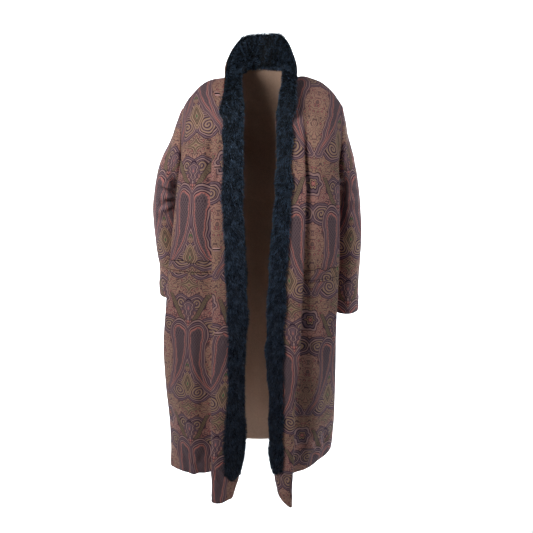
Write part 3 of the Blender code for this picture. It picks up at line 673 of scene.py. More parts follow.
def declare(item, grid, node):
    """Attach a cloth piece to the root body and hide the solid it replaces; its grid's diagonals are
    worked out but not used.
    """
    a = grid[1:, 1:] - grid[:-1, :-1]
    b = grid[1:, :-1] - grid[:-1, 1:]
    claim(item, "cloth", node)


# Shader nodes

class Number:
    """A number in a shader, held as an output socket, with ordinary arithmetic."""

    def __init__(self, tree, socket):
        self.tree = tree
        self.socket = socket

    def maths(self, operation, *values):
        fields = dict(enumerate((self, *values)))
        return Number(self.tree, add_node(self.tree, "Math", fields, operation=operation).outputs[0])

    def __add__(self, other):
        return self.maths("ADD", other)

    def __sub__(self, other):
        return self.maths("SUBTRACT", other)

    def __rsub__(self, other):
        return self.maths("MULTIPLY_ADD", -1.0, other)

    def __mul__(self, other):
        return self.maths("MULTIPLY", other)

    def __truediv__(self, other):
        return self.maths("DIVIDE", other)

    def __abs__(self):
        return self.maths("ABSOLUTE")

    def below(self, limit):
        return self.maths("LESS_THAN", limit)

    def above(self, limit):
        return self.maths("GREATER_THAN", limit)

    def power(self, exponent):
        return self.maths("POWER", exponent)

    def wave(self):
        return self.maths("SINE")

    def fraction(self):
        return self.maths("FRACT")


def add_node(tree, kind, fields, **settings):
    """Add a shader node; fields has its inputs' values, numbers or sockets, by name or place."""
    node = tree.nodes.new("ShaderNode" + kind)
    for name, value in settings.items():
        setattr(node, name, value)
    fill(tree, node, fields)
    return node


def fill(tree, node, fields):
    for name, value in fields.items():
        if isinstance(value, Number):
            value = value.socket
        if isinstance(value, bpy.types.NodeSocket):
            tree.links.new(value, node.inputs[name])
        else:
            node.inputs[name].default_value = value


def channels(tree, socket, kind="SeparateColor"):
    return [Number(tree, part) for part in add_node(tree, kind, {0: socket}).outputs]


def noise(tree, vector, scale, detail, dimensions="3D"):
    fields = {"Vector": vector, "Scale": scale, "Detail": detail}
    return add_node(tree, "TexNoise", fields, noise_dimensions=dimensions)


def hypotenuse(a, b):
    return (a * a + b * b).maths("SQRT")


def choose(condition, yes, no):
    """Pick between two numbers by a condition of 0 or 1."""
    fields = {0: condition, 3: yes, 2: no}
    node = add_node(condition.tree, "Mix", fields, data_type="FLOAT")
    return Number(condition.tree, node.outputs[0])


def paint(under, colour, cover):
    """Lay a colour over another by a cover of 0 to 1."""
    fields = {0: cover, 6: under, 7: colour}
    return add_node(cover.tree, "Mix", fields, data_type="RGBA").outputs[2]


def ramp(value, low, high, stops, interpolation="LINEAR"):
    """Colour a number by stops of (value, colour, cover); returns colour socket and cover."""
    node = add_node(value.tree, "ValToRGB", {0: (value - low) / (high - low)})
    node.color_ramp.interpolation = interpolation
    elements = node.color_ramp.elements
    for number, (start, colour, cover) in enumerate(stops):
        place = (start - low) / (high - low)
        element = elements[number] if number < 2 else elements.new(place)
        element.position = place
        element.color = (*colour[:3], cover)
    return node.outputs["Color"], Number(value.tree, node.outputs["Alpha"])


def ringed(under, value, low, high, bands, extent=None, soft=0.35):
    """Lay bands of (start, colour, cover), with short soft edges, over a colour."""
    stops = [bands[0]]
    for (_, colour, cover), following in zip(bands, bands[1:]):
        stops.append((following[0] - soft, colour, cover))
        stops.append((following[0] + soft, *following[1:]))
    face, cover = ramp(value, low, high, stops)
    return paint(under, face, cover if extent is None else cover * extent)


def drop_shape(across, down, head, tip, length):
    """Distance in millimetres from a long drop with a round head and a narrow tip."""
    lean = (head - tip) / length
    upright = math.sqrt(1 - lean * lean)
    along = down * upright - across * lean
    at_head = hypotenuse(across, down) - head
    beside = across * upright + down * lean - head
    at_tip = hypotenuse(across, down - length) - tip
    return choose(along.below(0.0), at_head,
                  choose(along.above(upright * length), at_tip, beside))


# Colours and materials

def linear(*screen):
    """Turn an 8 bit screen colour into the linear colour that a shader takes."""
    levels = [level / 255 for level in screen]
    return (*(v / 12.92 if v <= 0.04045 else ((v + 0.055) / 1.055) ** 2.4 for v in levels), 1.0)


GROUND = linear(164, 128, 116)
GROUND_ROSE = linear(166, 125, 118)
GROUND_OLIVE = linear(156, 126, 110)
MAUVE = linear(118, 95, 104)
MAUVE_PALE = linear(162, 130, 128)
PLUM = linear(54, 39, 56)
SLATE = linear(104, 87, 92)
CORAL = linear(184, 118, 112)
OLIVE = linear(124, 106, 88)
GREEN = linear(84, 103, 76)
OCHRE = linear(162, 132, 112)
# FUR_LOW is darker than FUR_TOP partly as painted shade of the lower fur
FUR_TOP = linear(22, 27, 31)
FUR_LOW = linear(1, 12, 36)
FUR_SHINE = linear(122, 154, 192)
# Near-black painted shade for the core, deep in the pile
FUR_PAINTED_PILE_SHADE = linear(6, 9, 12)

# The design's repeat in millimetres: half its width, its height, and where it starts and ends
REPEAT_HALF = 86.0
REPEAT_LOW = -90.0
REPEAT_TOP = 293.0
# Scrolls: the height from which one is drawn, its middle across and up, and its size
SCROLLS = ((-90.0, 31.0, -52.0, 24.0), (-19.0, 26.0, -1.0, 13.0), (52.0, 62.0, 152.0, 18.0),
           (198.0, 22.0, 224.0, 14.0))
DROP_TOP = 124.0
DROP_LENGTH = 194.0


def paint_ground(tree, spot, v, far):
    """The ground, changing slowly with the height, with small winding filling and berries."""
    colour, _ = ramp(v, REPEAT_LOW, REPEAT_TOP, (
        (-90, GROUND_OLIVE, 1), (30, GROUND_OLIVE, 1), (110, GROUND, 1), (190, GROUND_ROSE, 1),
        (235, GROUND_ROSE, 1), (262, GROUND_OLIVE, 1), (293, GROUND_OLIVE, 1)))
    winding = Number(tree, noise(tree, spot, 0.06, 1.0, "2D").outputs[0])
    shade, cover = ramp((winding * 5.0).fraction(), 0.0, 1.0, (
        (0.0, MAUVE, 0.0), (0.2, MAUVE, 0.0), (0.28, PLUM, 0.8), (0.52, PLUM, 0.8),
        (0.6, CORAL, 0.35), (0.78, CORAL, 0.35), (0.86, MAUVE, 0.0), (1.0, MAUVE, 0.0)))
    plainer = (far / 45.0).maths("MINIMUM", 1.0) * 0.2 + 0.8
    colour = paint(colour, shade, cover * plainer)
    cells = add_node(tree, "TexVoronoi", {"Vector": spot, "Scale": 0.085},
                     voronoi_dimensions="2D", feature="F1")
    away = Number(tree, cells.outputs["Distance"])
    which = channels(tree, cells.outputs["Color"])[0]
    berry = away.below(0.27) * which.above(0.66)
    colour = paint(colour, PLUM, berry * 0.8)
    return paint(colour, CORAL, berry * away.below(0.17) * 0.8)


def paint_scrolls(tree, colour, u, v):
    """Scrolls: the height picks which one, and it is wound from its own middle."""
    stops = [(start, (x / 100, (y + 100) / 400, size / 100), 1) for start, x, y, size in SCROLLS]
    picked, _ = ramp(v, REPEAT_LOW, REPEAT_TOP, stops, "CONSTANT")
    x, y, size = channels(tree, picked)
    dx = u - x * 100.0
    dy = v - (y * 400.0 - 100.0)
    radius = hypotenuse(dx, dy)
    turn = dy.maths("ARCTAN2", dx) / (2 * math.pi)
    winding, _ = ramp((radius / 8.6 + turn).fraction(), 0.0, 1.0, (
        (0.0, OCHRE, 1), (0.36, OCHRE, 1), (0.46, PLUM, 1), (0.64, PLUM, 1), (0.74, MAUVE, 1),
        (0.92, MAUVE, 1), (1.0, OCHRE, 1)))
    beyond = radius - size * 100.0
    colour = paint(colour, winding, beyond.below(0.0))
    return ringed(colour, beyond, -1.0, 22.0, (
        (-1.0, PLUM, 0.0), (0.0, PLUM, 1), (2.4, MAUVE_PALE, 1), (5.6, PLUM, 1), (7.6, MAUVE, 1),
        (11.0, PLUM, 1), (13.0, MAUVE, 0.0)))


def paint_small_shapes(colour, u, v):
    """What is on the first mirror line, from the star between the repeats to the sprigs."""
    tall = abs((v + 107.0).maths("WRAP", 191.5, -191.5))
    star = (u + 0.5).power(0.62) + (tall * 1.5 + 0.5).power(0.62)
    colour = ringed(colour, star, 0.0, 14.0, (
        (0.0, CORAL, 1), (3.4, PLUM, 1), (4.5, OCHRE, 1), (6.3, OLIVE, 1), (7.9, PLUM, 1),
        (8.7, OCHRE, 1), (9.9, PLUM, 1), (10.7, OCHRE, 0)), soft=0.12)

    # Feathered bands that meet on the first mirror line
    band = (u - (v - 136.0) * 0.475) * 0.9
    extent = v.above(134.0) * v.below(250.0)
    colour = ringed(colour, band, -9.0, 9.0, (
        (-9.0, OLIVE, 0), (-6.5, PLUM, 0.9), (-4.8, OLIVE, 1), (4.8, PLUM, 0.9),
        (6.5, OLIVE, 0)), extent)
    barbs = ((v + abs(band) * 1.2) / 6.0).fraction().below(0.35) * abs(band).below(4.4)
    colour = paint(colour, PLUM, barbs * extent * 0.6)

    # Palmette below the paired scrolls, and beads
    leaf = drop_shape(u, 214.0 - v, 16.0, 2.0, 44.0) + ((v - 150.0) * 0.42).wave() * 2.0
    colour = ringed(colour, leaf, -20.0, 6.0, (
        (-20.0, CORAL, 1), (-13.5, MAUVE, 1), (-8.5, PLUM, 1), (-6.5, MAUVE_PALE, 1),
        (-3.0, PLUM, 1), (-0.8, MAUVE, 1), (2.0, PLUM, 1), (3.8, MAUVE, 0)))
    bead = hypotenuse(u * 1.6, v.maths("WRAP", 5.0, -5.0) * 0.7)
    colour = paint(colour, CORAL, bead.below(2.8) * v.above(122.0) * v.below(172.0))

    # Ogee round a lozenge, and sprigs above
    rise = abs(v + 26.0)
    lozenge = u * 1.9 + rise - (rise * 0.09).wave() * 5.0
    colour = ringed(colour, lozenge, -6.0, 44.0, (
        (-6.0, GREEN, 1), (5.0, OCHRE, 1), (10.0, PLUM, 1), (13.0, OLIVE, 1), (20.0, PLUM, 1),
        (23.0, OCHRE, 1), (31.0, PLUM, 1), (34.0, OCHRE, 1), (40.0, OCHRE, 0)))
    level = abs(v - 34.0)
    sprig = abs(u - level * 0.8).below(2.0) * level.below(13.0)
    tuft = hypotenuse(u - 13.0, level - 16.0).below(3.2)
    return paint(colour, GREEN, sprig.maths("MAXIMUM", tuft))


def paint_drops(colour, u, v):
    """The long drops, swinging away from the first mirror line as they go down."""
    down = DROP_TOP - v
    down = choose(down.below(0.0), down * 0.62, down)
    share = (down / DROP_LENGTH).maths("MAXIMUM", 0.0).maths("MINIMUM", 1.0)
    narrowed = share.power(1.25) * DROP_LENGTH + (down - share * DROP_LENGTH)
    bend = share.power(2.4) * 50.0 - (share * math.pi).wave() * 6.0
    side = abs(u - bend - 26.0)
    drop = drop_shape(side, narrowed, 20.0, 0.8, DROP_LENGTH)
    colour = ringed(colour, drop, -22.0, 19.0, (
        (-22.0, SLATE, 1), (-1.3, PLUM, 1), (0.6, MAUVE_PALE, 1), (2.9, PLUM, 1), (4.6, MAUVE, 1),
        (7.2, PLUM, 1), (8.8, MAUVE_PALE, 1), (11.2, PLUM, 1), (12.8, PLUM, 0)))
    specks = ((down * 0.62).wave() * (side * 0.9).maths("COSINE")).above(0.15)
    colour = paint(colour, PLUM, specks * drop.below(-7.0) * 0.7)
    scallop = abs(((down + u * 0.9) * 0.38).wave()) * 2.4
    border = (drop + 1.4).below(0.0) * (drop + 2.6 + scallop).above(0.0)
    return paint(colour, CORAL, border * 0.85)


def paisley(tree, across, up):
    """Colour of a paisley cloth from places on it in millimetres.

    Each repeat is folded at two upright mirror lines, the first through the lozenge and the
    palmette, between pairs of scrolls and drops, and the second through the rosettes.
    """
    folded = across.maths("PINGPONG", REPEAT_HALF)
    raised = up.maths("WRAP", REPEAT_TOP, REPEAT_LOW)
    spot = add_node(tree, "CombineXYZ", {0: folded, 1: raised}).outputs[0]
    wobble = channels(tree, noise(tree, spot, 0.045, 0.0, "2D").outputs["Color"])
    u = (folded + (wobble[0] - 0.5) * 5.0).maths("MAXIMUM", 0.0)
    v = raised + (wobble[1] - 0.5) * 7.0
    far = REPEAT_HALF - u
    colour = paint_ground(tree, spot, v, far)
    rosette_up = v - 232.0
    petals = (far.maths("ARCTAN2", rosette_up) * 6.0).maths("COSINE") * 2.2
    colour = ringed(colour, hypotenuse(far, rosette_up * 0.8) + petals, 0.0, 34.0, (
        (0.0, CORAL, 1), (4.5, PLUM, 1), (7.5, OCHRE, 1), (11.0, PLUM, 1), (13.6, MAUVE, 1),
        (18.0, PLUM, 1), (20.2, MAUVE_PALE, 1), (24.5, PLUM, 0.9), (26.5, MAUVE, 0)))
    colour = paint_scrolls(tree, colour, u, v)
    colour = paint_small_shapes(colour, u, v)
    return paint_drops(colour, u, v)


def new_material(name):
    material = bpy.data.materials.new(name)
    material.use_nodes = True
    return material, material.node_tree, material.node_tree.nodes["Principled BSDF"]


def cloth_material():
    """Paisley wool, matt with a soft woven grain."""
    material, tree, shader = new_material("paisley cloth")
    places = add_node(tree, "UVMap", {}, uv_map="cloth").outputs[0]
    across, up, _ = channels(tree, places, "SeparateXYZ")
    colour = paisley(tree, across / MM, up / MM)
    grain = noise(tree, places, 700.0, 2.0).outputs[0]
    fields = {0: colour, "Scale": Number(tree, grain) * 0.5 + 0.75}
    toned = add_node(tree, "VectorMath", fields, operation="SCALE")
    bump = add_node(tree, "Bump", {"Strength": 0.25, "Distance": 0.0006, "Height": grain})
    fill(tree, shader, {
        "Base Color": toned.outputs[0], "Normal": bump.outputs[0], "Roughness": 0.82,
        "Specular IOR Level": 0.25, "Sheen Weight": 0.05, "Sheen Roughness": 0.5,
        "Sheen Tint": linear(210, 180, 170)})
    return material


def plain_material(name, colour, roughness=0.85):
    """A single cloth colour with a slight unevenness."""
    material, tree, shader = new_material(name)
    place = add_node(tree, "TexCoord", {}).outputs["Object"]
    uneven = Number(tree, noise(tree, place, 260.0, 2.0).outputs[0])
    dark, light = ((*(c * share for c in colour[:3]), 1.0) for share in (0.8, 1.2))
    fill(tree, shader, {"Base Color": paint(dark, light, uneven), "Roughness": roughness,
                        "Specular IOR Level": 0.2})
    return material


def fur_material(name, core):
    """Dark fur, charcoal at the neck and darker and bluer below, that darkening painted shade; each hair
    has its own amount of painted shine.
    """
    material, tree, shader = new_material(name)
    place = add_node(tree, "TexCoord", {}).outputs["Object"]
    height = channels(tree, place, "SeparateXYZ")[2]
    # Darker and bluer towards the bottom; the darkening is painted shade, as less light reaches low down
    colour, _ = ramp(height, -1.2, 0.2, (
        (-1.2, FUR_LOW, 1), (-0.55, FUR_LOW, 1), (-0.05, FUR_TOP, 1), (0.2, FUR_TOP, 1)))
    # The core is mixed most of the way to near-black as painted shade deep in the pile
    if core:
        fields = {0: 0.75, 6: colour, 7: FUR_PAINTED_PILE_SHADE}
        colour = add_node(tree, "Mix", fields, data_type="RGBA").outputs[2]
    else:
        # Painted shine on the hairs, mixed towards FUR_SHINE by each hair's amount
        painted_shine = add_node(tree, "Attribute", {}, attribute_name="painted_shine")
        colour = paint(colour, FUR_SHINE, Number(tree, painted_shine.outputs["Fac"]))
    fill(tree, shader, {"Base Color": colour, "Roughness": 0.55,
                        "Specular IOR Level": 0.1 if core else 0.45})
    return material


# Cloth pieces

def build_front(side, half):
    """A front; returns its piece, and the points, normals and cloth places of its surface."""
    seed = side.seeds[0]
    grid = fine_grid(half, FRONT_FINE, FRONT_FINE)
    columns = np.arange(grid.shape[1]) / FRONT_FINE
    near_hem = (1 - smooth_step(0, 90, grid[:, :, 2] - grid[:1, :, 2])) ** 2
    grid[:, :, 2] -= side.corner_drop * near_hem * bell(columns - 1.5, 0.9)
    normals = outward_normals(grid, FRONT_CENTRE)
    across, down = lengths_along(grid, 1), lengths_along(grid, 0)
    axis = across[:, side.design_axis * FRONT_FINE, None]
    places = np.stack([across - axis - side.design_shift[0],
                       down + grid[:1, :, 2] - side.design_shift[1]], axis=2)
    x, y = places[:, :, 0], places[:, :, 1]
    height = grid[:, :, 2]
    free = smooth_step(BAND + 0.2, BAND + 1.2, columns) * (1 - smooth_step(17.0, 20.0, columns))
    low = 1 - smooth_step(0, 140, height - height[:1])
    raised = creased(grid, side.folds) + hills(x, y * 0.45, 90, seed) * 0.9
    raised += hills(x * 1.3, y * 0.5, 48, seed + 1) * 1.5 * low
    raised *= free
    # Small puckers along the band's fold, and a panel that sinks in beside it
    raised += hills(y, x * 0.2, 26, seed + 2) * 0.8 * bell(columns - BAND_FOLD, 0.5)
    raised -= side.sunk * bell(columns - BESIDE_BAND, 1.25) * (1 - smooth_step(-230, -50, height))
    outer = sewn_surface(grid, normals, raised, ("end", "top"))
    turned = outward_normals(outer, FRONT_CENTRE)
    item = shell(f"front_{side.name}_cloth", outer, turned, places, both)
    return item, outer, turned, places


def build_back(right, left):
    grid = np.concatenate([right, left[:, -2::-1]], axis=1)
    grid = fine_grid(grid, FRONT_FINE, FRONT_FINE)
    normals = outward_normals(grid, MIDDLE)
    across, down = lengths_along(grid, 1), lengths_along(grid, 0)
    middle = across.shape[1] // 2
    places = np.stack([across - across[:, middle, None], down + grid[:1, :, 2] + 60], axis=2)
    raised = creased(grid, FOLDS_BACK)
    raised += hills(places[:, :, 0], places[:, :, 1] * 0.4, 110, 41) * 1.2
    raised *= smooth_step(0, 40, np.minimum(across, across[:, -1:] - across))
    raised *= smooth_step(0, 60, down[-1:] - down)
    outer = sewn_surface(grid, normals, raised, ("start", "end", "top"))
    return shell("back_cloth", outer, outward_normals(outer, MIDDLE), places, both), outer


def build_sleeve(side, rings):
    """A sleeve and its cuff, each a closed tube of cloth; returns pieces and grids."""
    seed = side.seeds[1]
    grid = fine_grid(rings, SLEEVE_FINE, SLEEVE_FINE, closed=True)
    away = grid - grid.mean(axis=1, keepdims=True)
    across, lengths = lengths_along(wrapped(grid), 1), lengths_along(wrapped(grid), 0)
    across -= across[:, grid.shape[1] // 4, None]
    level = grid[-1:, :, 2]
    places = np.stack([across, wrapped(level) + lengths[-1:] - lengths - SLEEVE_PHASE], axis=2)
    front = np.clip(-away[:, :, 1] / 40 + 0.35, 0, 1)
    behind = np.clip(away[:, :, 1] / 40 + 0.1, 0, 1)
    angle = np.arctan2(away[:, :, 1], away[:, :, 0] * side.sign)
    down = lengths[:, :-1]
    raised = creased(grid, side.sleeve_folds) * np.maximum(front, behind * 0.8)
    raised += hills(angle * 60, down * 0.8, 80, seed)
    raised *= smooth_step(0, 25, down)
    raised -= bell(down, 5.0) + bell(down[-1:] - down, 4.0)
    outer = grid + outward_normals(grid, closed=True) * raised[:, :, None]
    height = outer[:, :, 2]
    under_arm = smooth_step(-225, -262, height) * (1 - smooth_step(-440, -490, height))
    outer[:, :, 0] -= side.sign * side.arm_in * under_arm * np.clip(-np.cos(angle), 0, 1)
    outer[-1, :, 2] += SEAM_GAP
    item = shell(f"sleeve_{side.name}_cloth", outer, outward_normals(outer, closed=True), places, both)

    part = np.linspace(0, 1, CUFF_ROWS)[:, None, None]
    middle = grid[-1].mean(axis=0)
    cuff = middle + (grid[-1] - middle) * (1 + (CUFF_FLARE - 1) * part)
    swell = 0.8 * np.sin(math.pi * part) - 0.9 * bell(part, 1 / 12) - 0.5 * bell(1 - part, 1 / 14)
    cuff += unit(cuff - cuff.mean(axis=1, keepdims=True)) * swell
    cuff[:, :, 2:] -= SEAM_GAP + part * CUFF_HEIGHT
    turn = unit((cuff - cuff.mean(axis=1, keepdims=True)) * (1, 1, 0))
    around = np.repeat(angle[-1:] * 45, CUFF_ROWS, axis=0)
    cuff += turn * (hills(around, cuff[:, :, 2], 30, seed + 5) * 0.5)[:, :, None]
    cuff_places = np.stack([np.repeat(across[-1:], CUFF_ROWS, axis=0),
                            places[-1, 0, 1] - lengths_along(wrapped(cuff), 0)], axis=2)
    cuff_item = shell(f"cuff_{side.name}_cloth", cuff, turn, cuff_places, both)
    return item, outer, cuff_item, cuff


def build_under_collar(side, upper):
    grid = fine_grid(upper[COLLAR_SKIPS:], *COLLAR_FINE)
    normals = outward_normals(grid, MIDDLE)
    normals[-1] = unit(normals[-1] * (0, 1, 1))
    inward = unit(grid[:, -2] - grid[:, -1]) * UNDER_COLLAR_INSET
    grid[:, -1] += inward * 0.4
    grid[:, 0] += unit(grid[:, 0] - grid[:, 1]) * COLLAR_HEEL
    outer = grid + normals * COLLAR_LIFT
    outer[:, -1] += inward * 0.6
    places = np.stack([lengths_along(grid, 0), lengths_along(grid, 1) + 40], axis=2)
    item = shell(f"collar_cloth_{side.name}", outer, normals, places, both)
    declare(item, outer, f"under_collar_{side.name}")


# Fur

def build_fur(side, rings):
    """A soft core with an uneven surface, and short blades of hair over what shows."""
    seed = side.seeds[3]
    name = f"fur_band_{side.name}"
    grid = fine_grid(rings, FUR_FINE, FUR_FINE, closed=True)
    rows, around = grid.shape[:2]
    normals = outward_normals(grid, closed=True)
    base_part = BAND / (2 * BAND + 4)
    place = np.arange(around) / around
    under = 1 - smooth_step(base_part * 0.92, base_part * 1.25, place)
    under *= smooth_step(-0.02, 0.02, place)
    under = np.where(place > 0.96, smooth_step(0.94, 1.0, place), under)
    down = lengths_along(grid, 0).mean(axis=1)
    length, angle = np.meshgrid(down, 2 * math.pi * place, indexing="ij")
    uneven = hills(length, angle * 14, 26, seed) * 0.9 + hills(length, angle * 14, 12, seed + 1) * 0.6
    uneven += hills(length, angle * 3, 100, seed + 2) * 2.4
    core = grid + normals * ((uneven - PILE) * (1 - under))[:, :, None]
    ends = [tuple(reversed(range(around))), tuple(range((rows - 1) * around, rows * around))]
    item = add_piece(name, core.reshape(-1, 3), quads(rows, around, True) + ends, [fur_core])

    # More hairs where there is more surface, none where the fur lies on the coat
    source = np.random.default_rng(seed)
    a = np.roll(core, -1, axis=1)[:-1] - core[:-1]
    b = core[1:] - core[:-1]
    area = (np.linalg.norm(np.cross(a, b), axis=2) * (1 - under)).ravel()
    j, i = np.divmod(source.choice(len(area), HAIRS, p=area / area.sum()), around)
    v, u = source.random((HAIRS, 1)), source.random((HAIRS, 1))
    k = (i + 1) % around

    def spread(values):
        low = values[j, i] * (1 - u) + values[j, k] * u
        return low * (1 - v) + (values[j + 1, i] * (1 - u) + values[j + 1, k] * u) * v

    root = spread(core)
    out = unit(spread(outward_normals(core, closed=True)))
    along = unit(spread(np.gradient(grid, axis=0)))
    # Tufts: neighbouring hairs lean the same way
    cell = np.floor(root / 7.0 + hills(root[:, 2], root[:, 0], 30, seed + 3)[:, None] * 0.3)
    key = (cell * (73.0, 157.0, 311.0)).sum(axis=1)
    lean = np.stack([np.sin(key * 12.9898 + 78.233), np.sin(key * 39.346 + 11.135),
                     np.sin(key * 26.651 + 45.164)], axis=1)
    wild = source.normal(size=(HAIRS, 3))
    downward = along * smooth_step(0, 60, down[-1] - down[j])[:, None]
    direction = unit(out * 0.8 - downward * 0.65 + lean * 0.24 + wild * 0.19)
    below = (direction * out).sum(axis=1, keepdims=True)
    direction = unit(direction + out * np.maximum(0.25 - below, 0))
    size = HAIR_LENGTH * (0.62 + 0.5 * source.random((HAIRS, 1)))
    size *= np.clip(0.55 + down[j] / 30, 0.55, 1.0)[:, None]
    guard = source.random((HAIRS, 1)) < 0.07
    size = np.where(guard, size * 1.18, size)
    width = np.where(guard, 1.0, 0.75) * (0.8 + 0.4 * source.random((HAIRS, 1)))
    flat = unit(np.cross(direction, wild)) * width
    start = root - out * 0.8
    middle = root + direction * size * 0.55
    tip = root + direction * size * 0.92 + (lean * 0.3 - downward * 0.5) * size * 0.22
    blade = np.stack([start - flat / 2, start + flat / 2, middle + flat * 0.38,
                      middle - flat * 0.38, tip], axis=1)
    first = np.arange(HAIRS)[:, None] * 5
    faces = (first + (0, 1, 2, 3)).tolist() + (first + (3, 2, 4)).tolist()
    hairs = add_piece(name + "_hair", blade.reshape(-1, 3), faces, [fur_hair])

    # Painted shine: lighter clumps, guard hairs and tips, with less of it lower down as painted shade
    clump = 0.5 + 0.5 * np.sin(key * 3.7)
    painted_shine = 0.01 + 0.26 * source.random(HAIRS) ** 2 + 0.24 * clump ** 3
    painted_shine = np.where(guard[:, 0], 0.6 + 0.35 * source.random(HAIRS), painted_shine)
    painted_shine *= 0.32 + 0.68 * smooth_step(-1000, -120, root[:, 2])
    painted_shines = painted_shine[:, None] * (0.35, 0.35, 0.8, 0.8, 1.1)
    layer = hairs.data.attributes.new("painted_shine", "FLOAT", "POINT")
    layer.data.foreach_set("value", painted_shines.ravel().astype(np.float32))
    claim(item, "fur", f"fur_{side.name}")
    claim(hairs, "fur")


# What is sewn on the fronts

def patch(front, columns, heights, across_count, up_count):
    """Points, normals and cloth places on a front, for an upright patch between two heights."""
    _, outer, normals, places = front
    column = np.linspace(*columns, across_count) * FRONT_FINE
    level = outer[:, :, 2]
    rows = np.zeros((up_count, across_count))
    for n, place in enumerate(column):
        i = int(place)
        line = level[:, i] * (1 - (place - i)) + level[:, i + 1] * (place - i)
        rows[:, n] = np.interp(np.linspace(*heights, up_count), line, np.arange(len(line)))
    spots = np.repeat(column[None], up_count, axis=0)
    return at(outer, rows, spots), unit(at(normals, rows, spots)), at(places, rows, spots)


def build_welt(side, front):
    """The strip over a pocket: puckered along the top, stitched down along the bottom. Its stitch row is
    dark thread with the groove's painted shade, and its top row is the painted shadow of the pocket's
    opening.
    """
    seed = side.seeds[2]
    base, turn, spot = patch(front, side.welt["columns"], side.welt["heights"], *WELT_MESH)
    rows, columns = base.shape[:2]
    up = np.linspace(0, 1, rows)[:, None]
    across = np.linspace(0, 1, columns)
    x, y = spot[:, :, 0], spot[:, :, 1]
    height = 1.2 + 3.4 * smooth_step(0.1, 1.0, up) - bell(up - 0.14, 0.05)
    height = height + hills(x, y * 0.5, 26, seed) * 2.6 * up
    height *= np.clip(np.minimum(across, 1 - across) * 22, 0.45, 1)
    top = base + turn * (LIFT + height)[:, :, None]
    top[:, :, 2] += hills(x, y * 0, 34, seed + 1) * 3.6 * smooth_step(0.55, 1.0, up) - up
    item = shell(f"welt_{side.name}", top, turn, spot + (9.0, -26.0), [cloth, reverse, dark_thread_and_painted_shade],
                 thickness=0.9)
    kinds = np.zeros(len(item.data.polygons), dtype=np.int32)
    item.data.polygons.foreach_get("material_index", kinds)
    outside = kinds[:(rows - 1) * (columns - 1)].reshape(rows - 1, columns - 1)
    # Stitch row: dark thread and the groove's painted shade; top row: the painted shadow of the pocket's
    # opening
    outside[[STITCH_ROW, -1]] = 2
    item.data.polygons.foreach_set("material_index", kinds)
    claim(item, "cloth", f"pocket_welt_{side.name}")
    return item


def build_buttonhole(number, front, height, columns):
    """Two bound lips, with the slit between them painted dark as its shade."""
    heights = (height - HOLE_WIDTH / 2, height + HOLE_WIDTH / 2)
    base, turn, spot = patch(front, columns, heights, *HOLE_MESH)
    rows, columns = base.shape[:2]
    up = np.linspace(-1, 1, rows)[:, None]
    across = np.linspace(0, 1, columns)
    lips = 1.5 * np.abs(np.sin(math.pi * up)) ** 0.7 + 0.15
    ends = np.clip(np.minimum(across, 1 - across) * 9, 0.3, 1)
    top = base + turn * (0.4 + lips * ends)[:, :, None]
    item = shell(f"bound_hole_{number}", top, turn, spot, [binding, dark_thread_and_painted_shade], thickness=0.35)
    kinds = np.zeros(len(item.data.polygons), dtype=np.int32)
    outside = kinds[:(rows - 1) * (columns - 1)].reshape(rows - 1, columns - 1)
    # The slit's rows get painted shade
    outside[np.abs(np.arange(rows - 1) - (rows - 2) / 2) < SLIT_ROWS] = 1
    item.data.polygons.foreach_set("material_index", kinds)
    claim(item, "binding", f"buttonhole_{number}")
    return item


# The coat

cloth = cloth_material()
reverse = plain_material("cloth reverse", linear(176, 150, 134))
binding = plain_material("binding", linear(190, 152, 150), 0.7)
# Dark thread, and painted shade in slits and openings
dark_thread_and_painted_shade = plain_material("slit", linear(20, 18, 28))
fur_core = fur_material("fur core", True)
fur_hair = fur_material("fur hair", False)
both = [cloth, reverse]

sides = (RIGHT, LEFT)
halves = [body_half(side) for side in sides]
fronts = [build_front(side, front) for side, (front, _) in zip(sides, halves)]
back_item, back_grid = build_back(halves[0][1], halves[1][1])
sleeves = [build_sleeve(side, sleeve_rings(side, *half)) for side, half in zip(sides, halves)]
sewn_on = [[build_welt(side, front)] for side, front in zip(sides, fronts)]
for number, (height, columns) in enumerate(BUTTONHOLES, 1):
    sewn_on[0].append(build_buttonhole(number, fronts[0], height, columns))

declare(back_item, back_grid, "back")
for side, front, pieces in zip(sides, fronts, sewn_on):
    declare(front[0], front[1], f"front_{side.name}")
for side, (sleeve, sleeve_grid, cuff, cuff_grid) in zip(sides, sleeves):
    declare(sleeve, wrapped(sleeve_grid), f"sleeve_{side.name}")
    declare(cuff, wrapped(cuff_grid), f"cuff_{side.name}")
for side, (half, _) in zip(sides, halves):
    lower, upper = fur_base(side, half, outward_normals(half, FRONT_CENTRE))
    build_fur(side, fur_rings(side, lower, upper))
    build_under_collar(side, upper)


# Floor, light and camera, in metres

FLOOR_HEIGHT = -1.52
FLOOR_WIDE = 6.0
FLOOR_NEAR = -6.0
BACKDROP = 2.6
BACKDROP_TOP = 4.0
BEND = 1.2
WARM = (1.0, 0.95, 0.9)
NEUTRAL = (1.0, 0.97, 0.95)
COOL = (0.9, 0.96, 1.0)


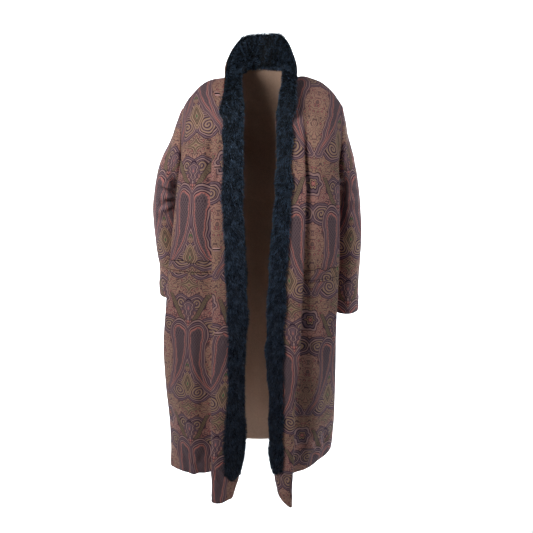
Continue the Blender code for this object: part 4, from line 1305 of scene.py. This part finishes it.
def add_stage():
    """A pale floor that curves up behind the coat."""
    profile = [(FLOOR_NEAR, FLOOR_HEIGHT)]
    for angle in np.linspace(0, math.pi / 2, 13):
        profile.append((BACKDROP - BEND + BEND * math.sin(angle),
                        FLOOR_HEIGHT + BEND - BEND * math.cos(angle)))
    profile.append((BACKDROP, BACKDROP_TOP))
    points = [(x, y, z) for y, z in profile for x in (-FLOOR_WIDE, FLOOR_WIDE)]
    faces = [(k, k + 1, k + 3, k + 2) for k in range(0, 2 * len(profile) - 2, 2)]
    floor = plain_material("floor", (0.9, 0.9, 0.9, 1.0), 0.9)
    add_piece("studio floor", np.array(points) / MM, faces, [floor])


def add_lamp(name, kind, place, target, energy, color, **settings):
    lamp = bpy.data.lights.new(name, kind)
    for setting, value in {"energy": energy, "color": color, **settings}.items():
        setattr(lamp, setting, value)
    item = bpy.data.objects.new(name, lamp)
    item.location = place
    aim = Vector(target) - Vector(place)
    item.rotation_euler = aim.to_track_quat("-Z", "Y").to_euler()
    bpy.context.scene.collection.objects.link(item)


add_stage()
add_lamp("key", "AREA", (-0.72, -1.2, 0.4), (0.0, 0.0, -0.3), 17.4, WARM, shape="DISK", size=0.7)
add_lamp("fill", "AREA", (1.0, -0.6, 0.25), (0.2, 0.0, -0.3), 3.2, NEUTRAL, shape="DISK", size=0.5)
for sign in (-1, 1):
    # These reach the floor and the backdrop but not the coat
    add_lamp(f"backdrop {sign}", "SPOT", (2.4 * sign, 0.4, 1.2), (-0.2 * sign, 2.3, -0.97), 1250.0,
             COOL, spot_size=math.radians(69), spot_blend=0.2, shadow_soft_size=0.4)

scene = bpy.context.scene
scene.world = bpy.data.worlds.new("studio")
scene.world.use_nodes = True
sky = scene.world.node_tree.nodes["Background"]
sky.inputs["Color"].default_value = (0.8, 0.92, 1.0, 1.0)
sky.inputs["Strength"].default_value = 0.03
scene.view_settings.view_transform = "Standard"

lens = bpy.data.cameras.new("camera")
lens.sensor_width = 36.0
lens.lens = 36.0 * 844.0 / 533.0    # a focal length of 844 pixels in a picture of 533
camera = bpy.data.objects.new("camera", lens)
camera.location = (0.020, -2.30, 0.153)
camera.rotation_euler = (math.radians(90 - 16.4), 0.0, 0.0)
scene.collection.objects.link(camera)
scene.camera = camera
